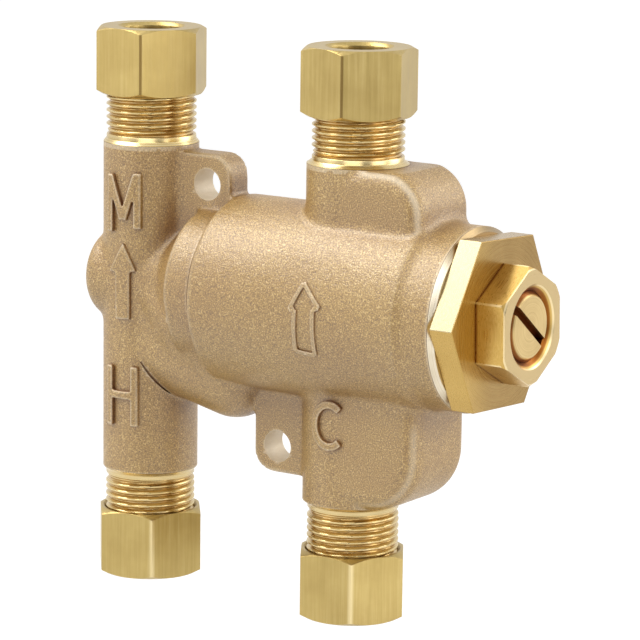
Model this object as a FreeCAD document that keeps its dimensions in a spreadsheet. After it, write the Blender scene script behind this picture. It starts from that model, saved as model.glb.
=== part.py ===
import FreeCAD, Part
import Sketcher
import math
import os

# Point-of-use mixing valve, in millimetres.
# The origin is the centre of the upper lug hole. X runs along the barrel towards the bonnet, Z is up and
# the front, where the marks are, faces -Y.
# Most pieces are drawn in a frame whose origin is where the barrel axis crosses the hot column's axis.

doc = FreeCAD.newDocument("mixing_valve")
dim = doc.addObject("Spreadsheet::Sheet", "dim")

SIZES = [
    # Layout of the axes and of the fixing holes
    ("column_spacing", 39.25, "hot column axis to cold column axis"),
    ("hole_over_axis", 16.25, "upper lug hole above the barrel axis"),
    ("hole_past_column", 12.75, "upper lug hole to the right of the hot column"),
    ("low_hole_x", 12.65, "lower lug hole, left of the cold column"),
    ("low_hole_drop", 23.75, "lower lug hole below the barrel axis"),
    ("lug_hole_r", 2.5, "radius of both lug holes"),
    ("lug_thick", 5.0, "thickness of both lugs"),
    ("lug_margin", 4.45, "metal around a lug hole"),
    ("lug_round", 3.6, "corner radius of a lug"),
    # Columns and threaded ends
    ("hot_column_r", 7.6, "cast radius of the hot and mixed column"),
    ("cold_column_r", 7.9, "cast radius of the cold column"),
    ("column_top", 22.4, "cast top of both columns above the barrel axis"),
    ("hot_drop", 31.3, "cast bottom of the hot column below the barrel axis"),
    ("cold_drop", 31.3, "cast bottom of the cold column below the barrel axis"),
    ("neck_r", 7.1, "machined neck beside the thread"),
    ("neck_long", 1.5, "length of the machined neck"),
    ("shoulder", 0.6, "height of the machined chamfer on a cast end"),
    ("thread_r", 6.6, "root radius of the outside thread"),
    ("mixed_thread", 11.6, "mixed outlet end beyond the casting"),
    ("cold_out_thread", 11.2, "cold outlet end beyond the casting"),
    ("hot_thread", 10.6, "hot inlet end beyond the casting"),
    ("cold_thread", 11.7, "cold inlet end beyond the casting"),
    # Barrel outside
    ("barrel_r", 15.0, "barrel radius"),
    ("barrel_start", 17.4, "left end of the barrel"),
    ("barrel_step", 16.35, "where the barrel steps down to its collar, right of the cold column"),
    ("collar_r", 14.2, "collar radius"),
    ("collar_end", 21.75, "end of the collar's full radius, right of the cold column"),
    ("mouth_x", 22.55, "machined end of the barrel, right of the cold column"),
    ("mouth_r", 13.4, "outer radius of the machined end"),
    ("ring_r", 12.6, "radius of the ring left of the barrel"),
    ("ring_start", 11.3, "left end of that ring"),
    ("throat_r", 10.5, "right end of the throat between column and ring"),
    ("throat_x", 10.2, "where the throat has opened out"),
    ("throat_bend", 6.6, "where the throat starts to open out"),
    ("throat_round", 3.0, "rounding of both bends of the throat"),
    ("cap_r", 7.4, "blind end left of the hot column"),
    ("cap_end", 8.7, "face of that blind end, left of the column"),
    ("cap_round", 2.5, "rounding of that blind end"),
    # Passage bulges
    ("lobe_r", 7.2, "hot passage lobe"),
    ("lobe_drop", 9.6, "start of the lobe's axis below the barrel axis"),
    ("lobe_long", 17.4, "length of the lobe's axis"),
    ("lobe_slope", 13.0, "slope of the lobe's axis in degrees"),
    ("web_left_x", 2.0, "left section of the web between throat and lobe"),
    ("web_left_half", 6.8, "half width of the left section"),
    ("web_left_low", 8.9, "bottom of the left section"),
    ("web_mid_x", 9.0, "middle section of the web"),
    ("web_mid_half", 9.6, "half width of the middle section at its top"),
    ("web_mid_top", 4.0, "top of the middle section"),
    ("web_mid_low_half", 6.3, "half width of the middle section at its bottom"),
    ("web_mid_low", 14.0, "bottom of the middle section"),
    ("web_end_x", 18.0, "right section of the web"),
    ("web_end_half", 11.0, "half width of the right section at its top"),
    ("web_end_top", 5.1, "top of the right section"),
    ("web_end_low_half", 5.9, "half width of the right section at its bottom"),
    ("web_end_low", 16.0, "bottom of the right section"),
    ("bulge_end", 16.05, "right side of both cold bulges, right of the cold column"),
    ("bulge_half", 7.7, "half depth of both cold bulges"),
    ("bulge_top", 22.3, "top of the upper bulge"),
    ("bulge_low", 30.4, "bottom of the lower bulge"),
    ("bulge_round", 6.8, "outer corner of the upper bulge"),
    ("low_round", 9.0, "outer corner of the lower bulge"),
    ("edge_round", 2.8, "rounding along the edges of both bulges"),
    # Waterways
    ("socket_r", 4.8, "tube socket"),
    ("socket_deep", 7.5, "depth of a tube socket"),
    ("mouth_cone", 1.05, "depth of the cone at a socket's mouth"),
    ("pocket_r", 4.6, "pocket of a check valve behind a tube socket"),
    ("way_r", 3.9, "upright passages"),
    ("hot_way_r", 3.6, "hot passage along the lobe"),
    ("hot_way_drop", 13.4, "hot passage below the barrel axis"),
    ("hot_way_end", 21.0, "right end of the hot passage"),
    ("outlet_r", 4.6, "mixed passage under the outlet"),
    ("outlet_end", 6.5, "end of the mixed passage left of the column"),
    ("mix_r", 8.2, "mixing chamber"),
    ("mix_start", 9.5, "left end of the mixing chamber"),
    ("seat_x", 18.6, "hot seat"),
    ("chamber_r", 12.4, "hot and cold ring chambers"),
    ("hot_chamber_end", 25.0, "right end of the hot chamber"),
    ("bore_r", 10.5, "bore the shuttle runs in"),
    ("cold_chamber_start", 1.45, "left end of the cold chamber, left of the cold column"),
    ("cold_chamber_end", 11.75, "right end of the cold chamber, right of the cold column"),
    ("land_end", 15.25, "end of the land the bonnet seals on, right of the cold column"),
    ("plug_bore_r", 11.7, "threaded bore of the bonnet"),
    ("cold_way_x", 7.25, "upright cold passages into the ring chamber, right of the cold column"),
    ("cold_way_r", 3.6, "cold passages inside the bulges"),
    ("cold_way_rise", 16.3, "upper cold passage above the barrel axis"),
    ("cold_way_drop", 19.6, "lower cold passage below the barrel axis"),
    # Compression nuts and ferrules
    ("nut_af", 15.875, "compression nut across flats"),
    ("nut_high", 10.6, "compression nut height"),
    ("nut_over", 4.5, "how far a nut runs over the end of the thread"),
    ("nut_bore_r", 7.2, "nut thread"),
    ("nut_cone", 2.25, "start of the nut's inside cone beyond the socket's mouth"),
    ("tube_hole_r", 4.85, "tube hole of the nut"),
    ("ferrule_r", 5.8, "ferrule outside"),
    ("ferrule_bore_r", 4.81, "ferrule bore"),
    ("seat_gap", 0.03, "clearance of pieces that touch and move"),
    # Bonnet, stem and lock nut
    ("bonnet_af", 25.75, "bonnet across flats"),
    ("bonnet_thick", 3.9, "bonnet hexagon"),
    ("plug_r", 11.65, "threaded part of the bonnet"),
    ("skirt_r", 10.45, "skirt of the bonnet"),
    ("skirt_bore_r", 8.0, "bore of the skirt"),
    ("seal_share", 0.6, "share of the skirt's wall that its seal groove takes"),
    ("skirt_floor", 17.25, "floor of the skirt's bore, right of the cold column"),
    ("stem_r", 5.4, "adjusting stem"),
    ("stem_end", 31.15, "slotted end of the stem, right of the cold column"),
    ("stem_foot", 14.75, "inner end of the stem, right of the cold column"),
    ("stem_flange_r", 6.6, "flange at the inner end of the stem"),
    ("stem_flange", 1.2, "thickness of that flange"),
    ("slot_wide", 1.4, "screwdriver slot"),
    ("slot_deep", 1.8, "depth of that slot"),
    ("lock_af", 16.0, "lock nut across flats"),
    ("lock_thick", 5.0, "lock nut"),
    ("sink_r", 6.5, "countersink of the lock nut"),
    ("running", 0.05, "radial clearance of running pieces"),
    ("ring_wire", 1.78, "section of the two larger sealing rings"),
    ("small_wire", 0.8, "section of the small sealing rings"),
    # Shuttle, wax element and springs
    ("shuttle_gap", 2.0, "open gap at each end of the shuttle"),
    ("shuttle_bore_r", 8.7, "bore of the shuttle"),
    ("web_x", 27.0, "left face of the shuttle's web"),
    ("web_thick", 2.0, "thickness of that web"),
    ("web_hole_r", 1.6, "water holes of the web"),
    ("web_hole_at", 6.3, "radius of the circle of water holes"),
    ("hub_r", 3.5, "hole for the wax element"),
    ("cup_r", 5.0, "wax element cup"),
    ("cup_start", 11.8, "left end of the cup"),
    ("guide_nose_r", 2.6, "nose of the element's guide"),
    ("guide_end", 34.0, "right end of the guide"),
    ("piston_r", 1.5, "piston of the wax element"),
    ("piston_start", 26.6, "inner end of the piston"),
    ("spring_r", 6.85, "return spring, mean radius"),
    ("spring_wire", 1.1, "return spring, wire"),
    ("spring_pitch", 3.2, "return spring, pitch"),
    ("travel_cup_r", 7.9, "overtravel cup"),
    ("travel_cup_start", 3.35, "open end of the overtravel cup, right of the cold column"),
    ("travel_bore_r", 6.9, "bore of the overtravel cup"),
    ("travel_floor", 1.4, "floor of the overtravel cup"),
    ("plunger_thick", 2.2, "plunger"),
    ("plunger_socket", 1.2, "depth of the plunger's socket"),
    ("clip_thick", 0.8, "retaining clip"),
    ("clip_reach", 0.9, "how far the clip reaches inwards"),
    ("heavy_r", 5.2, "overtravel spring, mean radius"),
    ("heavy_wire", 1.3, "overtravel spring, wire"),
    ("heavy_pitch", 1.9, "overtravel spring, pitch"),
    # Check valves and strainers, measured from the inner end of the cartridge
    ("check_r", 4.55, "check valve cartridge"),
    ("check_bore_r", 3.4, "bore of the cartridge"),
    ("check_long", 12.0, "length of the cartridge"),
    ("check_lip", 1.6, "seat lip of the cartridge"),
    ("check_port_r", 2.4, "port through the seat lip"),
    ("check_guide_high", 2.4, "guide of the poppet"),
    ("poppet_r", 3.1, "poppet"),
    ("poppet_thick", 1.0, "poppet plate"),
    ("poppet_stem_r", 0.9, "poppet stem"),
    ("check_seal_thick", 0.8, "rubber washer of the poppet"),
    ("check_spring_r", 1.9, "check spring, mean radius"),
    ("check_wire", 0.45, "check spring, wire"),
    ("check_pitch", 1.0, "check spring, pitch"),
    ("strainer_thick", 1.2, "strainer"),
    ("screen_thick", 0.4, "perforated plate of the strainer"),
    ("screen_hole_r", 0.42, "holes of the strainer"),
]

for row, (alias, value, note) in enumerate(SIZES, start=1):
    dim.set("A%d" % row, alias)
    dim.set("B%d" % row, str(value))
    dim.setAlias("B%d" % row, alias)
    dim.set("C%d" % row, note)
doc.recompute()

parts = []


# Helpers for sketches

def plane_of(body, role):
    for feature in body.Origin.OriginFeatures:
        if feature.Role == role:
            return feature
    return None


def new_sketch(body, name, role, lift="0"):
    sketch = body.newObject("Sketcher::SketchObject", name)
    sketch.AttachmentSupport = (plane_of(body, role), [""])
    sketch.MapMode = "FlatFace"
    sketch.setExpression("AttachmentOffset.Base.z", lift)
    return sketch


def hold(sketch, kind, item, point, guess, expression):
    index = sketch.addConstraint(Sketcher.Constraint(kind, -1, 1, item, point, guess))
    sketch.setExpression("Constraints[%d]" % index, expression)


def outline(sketch, corners):
    # a closed outline; every corner is held at a pair of expressions
    first = sketch.GeometryCount
    count = len(corners)
    guesses = []
    for i in range(count):
        turn = 2 * math.pi * i / count
        guesses.append(FreeCAD.Vector(10 * math.cos(turn), 10 * math.sin(turn), 0))
    for i in range(count):
        sketch.addGeometry(Part.LineSegment(guesses[i], guesses[(i + 1) % count]), False)
    for i in range(count):
        following = first + (i + 1) % count
        sketch.addConstraint(Sketcher.Constraint("Coincident", first + i, 2, following, 1))
    for i, (across, upward) in enumerate(corners):
        hold(sketch, "DistanceX", first + i, 1, guesses[i].x, across)
        hold(sketch, "DistanceY", first + i, 1, guesses[i].y, upward)


def circle(sketch, across, upward, radius):
    item = sketch.addGeometry(Part.Circle(FreeCAD.Vector(8, 8, 0), FreeCAD.Vector(0, 0, 1), 1), False)
    hold(sketch, "DistanceX", item, 3, 8, across)
    hold(sketch, "DistanceY", item, 3, 8, upward)
    index = sketch.addConstraint(Sketcher.Constraint("Radius", item, 1))
    sketch.setExpression("Constraints[%d]" % index, radius)


# Helpers for features

def size_of(alias):
    return float(dim.get(alias))


def new_body(label):
    body = doc.addObject("PartDesign::Body", label)
    body.Label = label
    return body


def revolve(body, kind, name, corners, axis, shift="0"):
    sketch = new_sketch(body, name + "_profile", "XZ_Plane")
    sketch.setExpression("AttachmentOffset.Base.x", shift)
    outline(sketch, corners)
    feature = body.newObject("PartDesign::" + kind, name)
    feature.Profile = sketch
    feature.ReferenceAxis = (sketch, [axis])
    feature.Angle = 360
    body.Tip = feature
    return feature


def turned(label, corners, axis, shift="0"):
    body = new_body(label)
    revolve(body, "Revolution", label + "_turned", corners, axis, shift)
    return body


def turned_ring(label, along, radius, section, axis):
    # a sealing ring of round section; along is its place on the axis, radius is the middle of its section
    body = new_body(label)
    sketch = new_sketch(body, label + "_section", "XZ_Plane")
    if axis == "H_Axis":
        circle(sketch, along, radius, section)
    else:
        circle(sketch, radius, along, section)
    feature = body.newObject("PartDesign::Revolution", label + "_turned")
    feature.Profile = sketch
    feature.ReferenceAxis = (sketch, [axis])
    feature.Angle = 360
    body.Tip = feature
    return body


def coil(label, along, radius, wire, pitch, height, axis):
    body = new_body(label)
    sketch = new_sketch(body, label + "_wire", "XZ_Plane")
    if axis == "H_Axis":
        circle(sketch, along, radius, wire)
    else:
        circle(sketch, radius, along, wire)
    feature = body.newObject("PartDesign::AdditiveHelix", label + "_coil")
    feature.Profile = sketch
    feature.ReferenceAxis = (sketch, [axis])
    feature.Mode = 0
    feature.setExpression("Pitch", pitch)
    feature.setExpression("Height", height)
    body.Tip = feature
    return body


def hexagon(sketch, across_flats):
    corners = []
    for i in range(6):
        size = "%s / 2 / cos(30 deg) * " % across_flats
        corners.append((size + "cos(%d deg)" % (60 * i), size + "sin(%d deg)" % (60 * i)))
    outline(sketch, corners)


def pad(body, name, sketch, length, both_ways=False):
    feature = body.newObject("PartDesign::Pad", name)
    feature.Profile = sketch
    feature.setExpression("Length", length)
    if both_ways:
        feature.SideType = "Symmetric"
    body.Tip = feature
    return feature


def pocket_ring(body, name, role, lift, across, radius, depth, count):
    # a ring of round holes cut downwards from a plane
    sketch = new_sketch(body, name + "_circle", role, lift)
    circle(sketch, across, "0", radius)
    cut = body.newObject("PartDesign::Pocket", name)
    cut.Profile = sketch
    cut.setExpression("Length", depth)
    body.Tip = cut
    doc.recompute()
    pattern = body.newObject("PartDesign::PolarPattern", name + "_ring")
    pattern.Originals = [cut]
    pattern.Axis = (sketch, ["N_Axis"])
    pattern.Angle = 360
    pattern.Occurrences = count
    body.Tip = pattern
    doc.recompute()


def rounded(body, name, base, radius, chosen):
    # rounds the edges of the base feature that the chooser picks
    doc.recompute()
    edges = []
    for i, edge in enumerate(base.Shape.Edges, start=1):
        if chosen(edge):
            edges.append("Edge%d" % i)
    feature = body.newObject("PartDesign::Fillet", name)
    feature.Base = (base, edges)
    feature.setExpression("Radius", radius)
    body.Tip = feature
    doc.recompute()
    return feature


def spin(item, axis, degrees):
    item.Placement = FreeCAD.Placement(FreeCAD.Vector(), FreeCAD.Rotation(axis, degrees))


def put_on_barrel(item):
    # the barrel frame, seen from the upper lug hole
    item.setExpression("Placement.Base.x", "-dim.hole_past_column")
    item.setExpression("Placement.Base.z", "-dim.hole_over_axis")
    parts.append(item)


# Places along the barrel that lie a fixed way from the cold column

STEP = "(dim.column_spacing + dim.barrel_step)"
COLLAR_END = "(dim.column_spacing + dim.collar_end)"
MOUTH = "(dim.column_spacing + dim.mouth_x)"
BULGE_END = "(dim.column_spacing + dim.bulge_end)"
COLD_CHAMBER_END = "(dim.column_spacing + dim.cold_chamber_end)"
LAND_END = "(dim.column_spacing + dim.land_end)"
COLD_WAY = "(dim.column_spacing + dim.cold_way_x)"
SKIRT_FLOOR = "(dim.column_spacing + dim.skirt_floor)"
STEM_END = "(dim.column_spacing + dim.stem_end)"
STEM_FOOT = "(dim.column_spacing + dim.stem_foot)"
TRAVEL_CUP = "(dim.column_spacing + dim.travel_cup_start)"
LOW_HOLE = "(dim.column_spacing - dim.low_hole_x)"
COLD_CHAMBER = "(dim.column_spacing - dim.cold_chamber_start)"

AXIS_X = FreeCAD.Vector(1, 0, 0)
AXIS_Y = FreeCAD.Vector(0, 1, 0)
AXIS_Z = FreeCAD.Vector(0, 0, 1)

# Ports: name, column position, end of the socket over the barrel axis, and whether the port points down
PORTS = {
    "mixed_outlet": ("0", "dim.column_top + dim.mixed_thread", False),
    "cold_outlet": ("dim.column_spacing", "dim.column_top + dim.cold_out_thread", False),
    "hot_inlet": ("0", "-dim.hot_drop - dim.hot_thread", True),
    "cold_inlet": ("dim.column_spacing", "-dim.cold_drop - dim.cold_thread", True),
}


def put_on_port(item, port, turn):
    # the piece's own Z points out of the port, from the end of the socket
    column, end, down = PORTS[port]
    rotation = FreeCAD.Rotation(AXIS_Z, turn)
    if down:
        rotation = FreeCAD.Rotation(AXIS_X, 180).multiply(rotation)
    item.Placement = FreeCAD.Placement(FreeCAD.Vector(), rotation)
    item.setExpression("Placement.Base.x", column + " - dim.hole_past_column")
    item.setExpression("Placement.Base.z", end + " - dim.hole_over_axis")
    parts.append(item)


# Casting: barrel, ring and collar in one turned outline

barrel = turned("cast_barrel", [
    ("dim.ring_start", "0"),
    ("dim.ring_start", "dim.ring_r - 0.5"),
    ("dim.ring_start + 0.5", "dim.ring_r"),
    ("dim.barrel_start - 0.4", "dim.ring_r"),
    ("dim.barrel_start", "dim.ring_r + 0.4"),
    ("dim.barrel_start", "dim.barrel_r - 0.9"),
    ("dim.barrel_start + 0.3", "dim.barrel_r - 0.3"),
    ("dim.barrel_start + 0.9", "dim.barrel_r"),
    (STEP + " - 0.5", "dim.barrel_r"),
    (STEP + " + 0.5", "dim.collar_r"),
    (COLLAR_END, "dim.collar_r"),
    (MOUTH, "dim.mouth_r"),
    (MOUTH, "0"),
], "H_Axis")


# Columns with a machined shoulder, neck and thread core at each end

def column(label, shift, radius, drop, up_thread, down_thread):
    top = "dim.column_top"
    return turned(label, [
        ("0", "-%s - %s" % (drop, down_thread)),
        ("dim.thread_r - 0.6", "-%s - %s" % (drop, down_thread)),
        ("dim.thread_r", "-%s - %s + 0.6" % (drop, down_thread)),
        ("dim.thread_r", "-%s - dim.neck_long" % drop),
        ("dim.neck_r", "-%s - dim.neck_long" % drop),
        ("dim.neck_r", "-%s" % drop),
        (radius, "-%s + dim.shoulder" % drop),
        (radius, top + " - dim.shoulder"),
        ("dim.neck_r", top),
        ("dim.neck_r", top + " + dim.neck_long"),
        ("dim.thread_r", top + " + dim.neck_long"),
        ("dim.thread_r", "%s + %s - 0.6" % (top, up_thread)),
        ("dim.thread_r - 0.6", "%s + %s" % (top, up_thread)),
        ("0", "%s + %s" % (top, up_thread)),
    ], "V_Axis", shift)


hot_column = column("cast_hot_column", "0", "dim.hot_column_r", "dim.hot_drop",
                    "dim.mixed_thread", "dim.hot_thread")
cold_column = column("cast_cold_column", "dim.column_spacing", "dim.cold_column_r", "dim.cold_drop",
                     "dim.cold_out_thread", "dim.cold_thread")


# Hot lobe with a rounded end

def ball(label, radius, x, z):
    item = doc.addObject("Part::Sphere", label)
    item.setExpression("Radius", radius)
    item.setExpression("Placement.Base.x", x)
    item.setExpression("Placement.Base.z", z)
    return item


def rod(label, radius, length, base, axis, degrees):
    # a cylinder from a base point, turned from +Z about an axis
    item = doc.addObject("Part::Cylinder", label)
    item.setExpression("Radius", radius)
    item.setExpression("Height", length)
    spin(item, axis, degrees)
    item.setExpression("Placement.Base.x", base[0])
    item.setExpression("Placement.Base.y", base[1])
    item.setExpression("Placement.Base.z", base[2])
    return item


lobe_rod = rod("cast_lobe", "dim.lobe_r", "dim.lobe_long", ("0", "0", "-dim.lobe_drop"), AXIS_Y, 90)
lobe_rod.setExpression("Placement.Rotation.Angle", "90 deg + dim.lobe_slope * 1 deg")
lobe_ball = ball("cast_lobe_end", "dim.lobe_r", "dim.lobe_long * cos(dim.lobe_slope * 1 deg)",
                 "-dim.lobe_drop - dim.lobe_long * sin(dim.lobe_slope * 1 deg)")

# Blind end left of the hot column and the throat that opens out to the ring

throat = turned("cast_throat", [
    ("-dim.cap_end", "0"),
    ("-dim.cap_end", "dim.cap_r"),
    ("dim.throat_bend", "dim.cap_r"),
    ("dim.throat_x", "dim.throat_r - 0.5"),
    ("dim.ring_start + 0.2", "dim.throat_r"),
    ("dim.ring_start + 0.2", "0"),
], "H_Axis")
doc.recompute()


def bend_circle(x):
    # picks the turned edges at one place along the barrel
    def chosen(edge):
        box = edge.BoundBox
        return box.XLength < 0.01 and abs(box.Center.x - x) < 0.01
    return chosen


throat_cap = rounded(throat, "cast_throat_cap", throat.Tip, "dim.cap_round", bend_circle(-size_of("cap_end")))
throat_bend = rounded(throat, "cast_throat_bend", throat_cap, "dim.throat_round",
                      bend_circle(size_of("throat_bend")))
rounded(throat, "cast_throat_shoulder", throat_bend, "dim.throat_round", bend_circle(size_of("throat_x")))


# Web that fills the corner between the throat and the lobe

def web_section(body, name, x, half, top, low_half, low):
    sketch = new_sketch(body, name, "YZ_Plane", x)
    outline(sketch, [("-" + half, top), (half, top), (low_half, "-" + low), ("-" + low_half, "-" + low)])
    return sketch


web = new_body("cast_web")
web_left = web_section(web, "cast_web_left", "dim.web_left_x", "dim.web_left_half", "0",
                       "dim.web_left_half", "dim.web_left_low")
web_mid = web_section(web, "cast_web_mid", "dim.web_mid_x", "dim.web_mid_half", "-dim.web_mid_top",
                      "dim.web_mid_low_half", "dim.web_mid_low")
web_end = web_section(web, "cast_web_end", "dim.web_end_x", "dim.web_end_half", "-dim.web_end_top",
                      "dim.web_end_low_half", "dim.web_end_low")
web_loft = web.newObject("PartDesign::AdditiveLoft", "cast_web_loft")
web_loft.Profile = web_left
web_loft.Sections = [web_mid, web_end]
web_loft.Ruled = True
web.Tip = web_loft


# Cold bulges beside the cold column and lugs between the columns

def slab(label, corners, thickness):
    body = new_body(label)
    sketch = new_sketch(body, label + "_outline", "XZ_Plane")
    outline(sketch, corners)
    pad(body, label + "_pad", sketch, thickness, True)
    doc.recompute()
    return body


def corner_edge(x, z):
    # picks the edge that runs along Y at one corner of a slab
    def chosen(edge):
        box = edge.BoundBox
        return abs(box.Center.x - x) < 0.01 and abs(box.Center.z - z) < 0.01 and box.YLength > 1
    return chosen


def rim_edges(x_over, z_from_axis):
    # picks the edges on both faces of a slab that lie outside the column and off the barrel axis
    def chosen(edge):
        box = edge.BoundBox
        if box.YLength > 0.01:
            return False
        return box.XMax > x_over + 0.5 and abs(box.Center.z) > z_from_axis
    return chosen


def cold_bulge(label, outer, corner_round):
    body = slab(label, [
        ("dim.column_spacing", "0"),
        (BULGE_END, "0"),
        (BULGE_END, outer),
        ("dim.column_spacing", outer),
    ], "2 * dim.bulge_half")
    box = body.Shape.BoundBox
    far = box.ZMax if abs(box.ZMax) > abs(box.ZMin) else box.ZMin
    bend = rounded(body, label + "_bend", body.Tip, corner_round, corner_edge(box.XMax, far))
    rounded(body, label + "_edges", bend, "dim.edge_round", rim_edges(box.XMin, 1.0))
    return body


upper_bulge = cold_bulge("cast_upper_bulge", "dim.bulge_top", "dim.bulge_round")
lower_bulge = cold_bulge("cast_lower_bulge", "-dim.bulge_low", "dim.low_round")

upper_lug = slab("cast_upper_lug", [
    ("0", "dim.outlet_r + 1"),
    ("dim.hole_past_column + dim.lug_margin", "dim.outlet_r + 1"),
    ("dim.hole_past_column + dim.lug_margin", "dim.hole_over_axis + dim.lug_margin + 0.35"),
    ("0", "dim.hole_over_axis + dim.lug_margin + 0.35"),
], "dim.lug_thick")
lug_box = upper_lug.Shape.BoundBox
rounded(upper_lug, "cast_upper_lug_corner", upper_lug.Tip, "dim.lug_round",
        corner_edge(lug_box.XMax, lug_box.ZMax))

lower_lug = slab("cast_lower_lug", [
    (LOW_HOLE + " - dim.lug_margin", "-dim.bore_r"),
    (LOW_HOLE + " - dim.lug_margin", "-dim.low_hole_drop - dim.lug_margin + 0.2"),
    ("dim.column_spacing", "-dim.low_hole_drop - dim.lug_margin + 0.2"),
    ("dim.column_spacing", "-dim.bore_r"),
], "dim.lug_thick")
lug_box = lower_lug.Shape.BoundBox
rounded(lower_lug, "cast_lower_lug_corner", lower_lug.Tip, "dim.lug_round",
        corner_edge(lug_box.XMin, lug_box.ZMin))

casting = doc.addObject("Part::MultiFuse", "casting")
casting.Shapes = [barrel, throat, hot_column, cold_column, lobe_rod, lobe_ball, web,
                  upper_bulge, lower_bulge, upper_lug, lower_lug]
casting.Refine = True

# Waterways: the stepped bore of the barrel

bore = turned("way_bore", [
    ("-dim.outlet_end", "0"),
    ("-dim.outlet_end", "dim.outlet_r - 1"),
    ("-dim.outlet_end + 1", "dim.outlet_r"),
    ("dim.mix_start", "dim.outlet_r"),
    ("dim.mix_start", "dim.mix_r - 0.6"),
    ("dim.mix_start + 0.6", "dim.mix_r"),
    ("dim.seat_x", "dim.mix_r"),
    ("dim.seat_x", "dim.chamber_r"),
    ("dim.hot_chamber_end", "dim.chamber_r"),
    ("dim.hot_chamber_end", "dim.bore_r"),
    (COLD_CHAMBER, "dim.bore_r"),
    (COLD_CHAMBER, "dim.chamber_r"),
    (COLD_CHAMBER_END, "dim.chamber_r"),
    (COLD_CHAMBER_END, "dim.skirt_r + dim.running"),
    (LAND_END, "dim.skirt_r + dim.running"),
    (LAND_END, "dim.plug_bore_r"),
    (MOUTH + " + 1", "dim.plug_bore_r"),
    (MOUTH + " + 1", "0"),
], "H_Axis")


# Waterways: the upright sockets, each with a cone at its mouth

def socket_up(label, shift, end, floor, deep_r, deep_end):
    # a socket that opens upwards, and the passage under it
    return turned(label, [
        ("0", deep_end),
        (deep_r, deep_end),
        (deep_r, floor),
        ("dim.socket_r", floor),
        ("dim.socket_r", end + " - dim.mouth_cone"),
        ("dim.socket_r + dim.mouth_cone", end),
        ("dim.socket_r + dim.mouth_cone", end + " + 1"),
        ("0", end + " + 1"),
    ], "V_Axis", shift)


def socket_down(label, shift, end, floor, deep_r, deep_end):
    # a socket that opens downwards, with a check valve's pocket and a passage over it
    return turned(label, [
        ("0", deep_end),
        ("0", end + " - 1"),
        ("dim.socket_r + dim.mouth_cone", end + " - 1"),
        ("dim.socket_r + dim.mouth_cone", end),
        ("dim.socket_r", end + " + dim.mouth_cone"),
        ("dim.socket_r", end + " + dim.socket_deep"),
        ("dim.pocket_r", end + " + dim.socket_deep"),
        ("dim.pocket_r", floor),
        (deep_r, floor),
        (deep_r, deep_end),
    ], "V_Axis", shift)


cartridge = "dim.socket_deep + dim.strainer_thick + dim.check_long"
mixed_end = PORTS["mixed_outlet"][1]
cold_out_end = PORTS["cold_outlet"][1]
hot_end = PORTS["hot_inlet"][1]
cold_end = PORTS["cold_inlet"][1]
mixed_way = socket_up("way_mixed", "0", mixed_end, mixed_end + " - dim.socket_deep - 1.5", "dim.way_r", "0")
cold_out_way = socket_up("way_cold_out", "dim.column_spacing", cold_out_end,
                         cold_out_end + " - dim.socket_deep - 1.5", "dim.way_r",
                         "dim.cold_way_rise - dim.cold_way_r")
hot_way = socket_down("way_hot", "0", hot_end, hot_end + " + " + cartridge, "dim.way_r",
                      "-dim.hot_way_drop + dim.hot_way_r")
cold_way = socket_down("way_cold", "dim.column_spacing", cold_end, cold_end + " + " + cartridge, "dim.way_r",
                       "-dim.cold_way_drop + dim.cold_way_r")

hot_cross = rod("way_hot_cross", "dim.hot_way_r", "dim.hot_way_end",
                ("0", "0", "-dim.hot_way_drop"), AXIS_Y, 90)
cold_cross_length = "dim.cold_way_x + dim.cold_way_r"
cold_cross_top = rod("way_cold_cross_top", "dim.cold_way_r", cold_cross_length,
                     ("dim.column_spacing", "0", "dim.cold_way_rise"), AXIS_Y, 90)
cold_cross_low = rod("way_cold_cross_low", "dim.cold_way_r", cold_cross_length,
                     ("dim.column_spacing", "0", "-dim.cold_way_drop"), AXIS_Y, 90)
cold_rise_top = rod("way_cold_rise_top", "dim.cold_way_r", "dim.cold_way_rise - dim.bore_r",
                    (COLD_WAY, "0", "dim.bore_r"), AXIS_Y, 0)
cold_rise_low = rod("way_cold_rise_low", "dim.cold_way_r", "dim.cold_way_drop - dim.bore_r",
                    (COLD_WAY, "0", "-dim.cold_way_drop"), AXIS_Y, 0)
upper_hole = rod("way_upper_hole", "dim.lug_hole_r", "3 * dim.lug_thick",
                 ("dim.hole_past_column", "1.5 * dim.lug_thick", "dim.hole_over_axis"), AXIS_X, 90)
lower_hole = rod("way_lower_hole", "dim.lug_hole_r", "3 * dim.lug_thick",
                 (LOW_HOLE, "1.5 * dim.lug_thick", "-dim.low_hole_drop"), AXIS_X, 90)

ways = doc.addObject("Part::MultiFuse", "waterways")
ways.Shapes = [bore, mixed_way, cold_out_way, hot_way, cold_way, hot_cross, cold_cross_top, cold_cross_low,
               cold_rise_top, cold_rise_low, upper_hole, lower_hole]

valve_body = doc.addObject("Part::Cut", "valve_body")
valve_body.Label = "valve_body"
valve_body.Base = casting
valve_body.Tool = ways
put_on_barrel(valve_body)


# Compression nuts and ferrules

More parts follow.
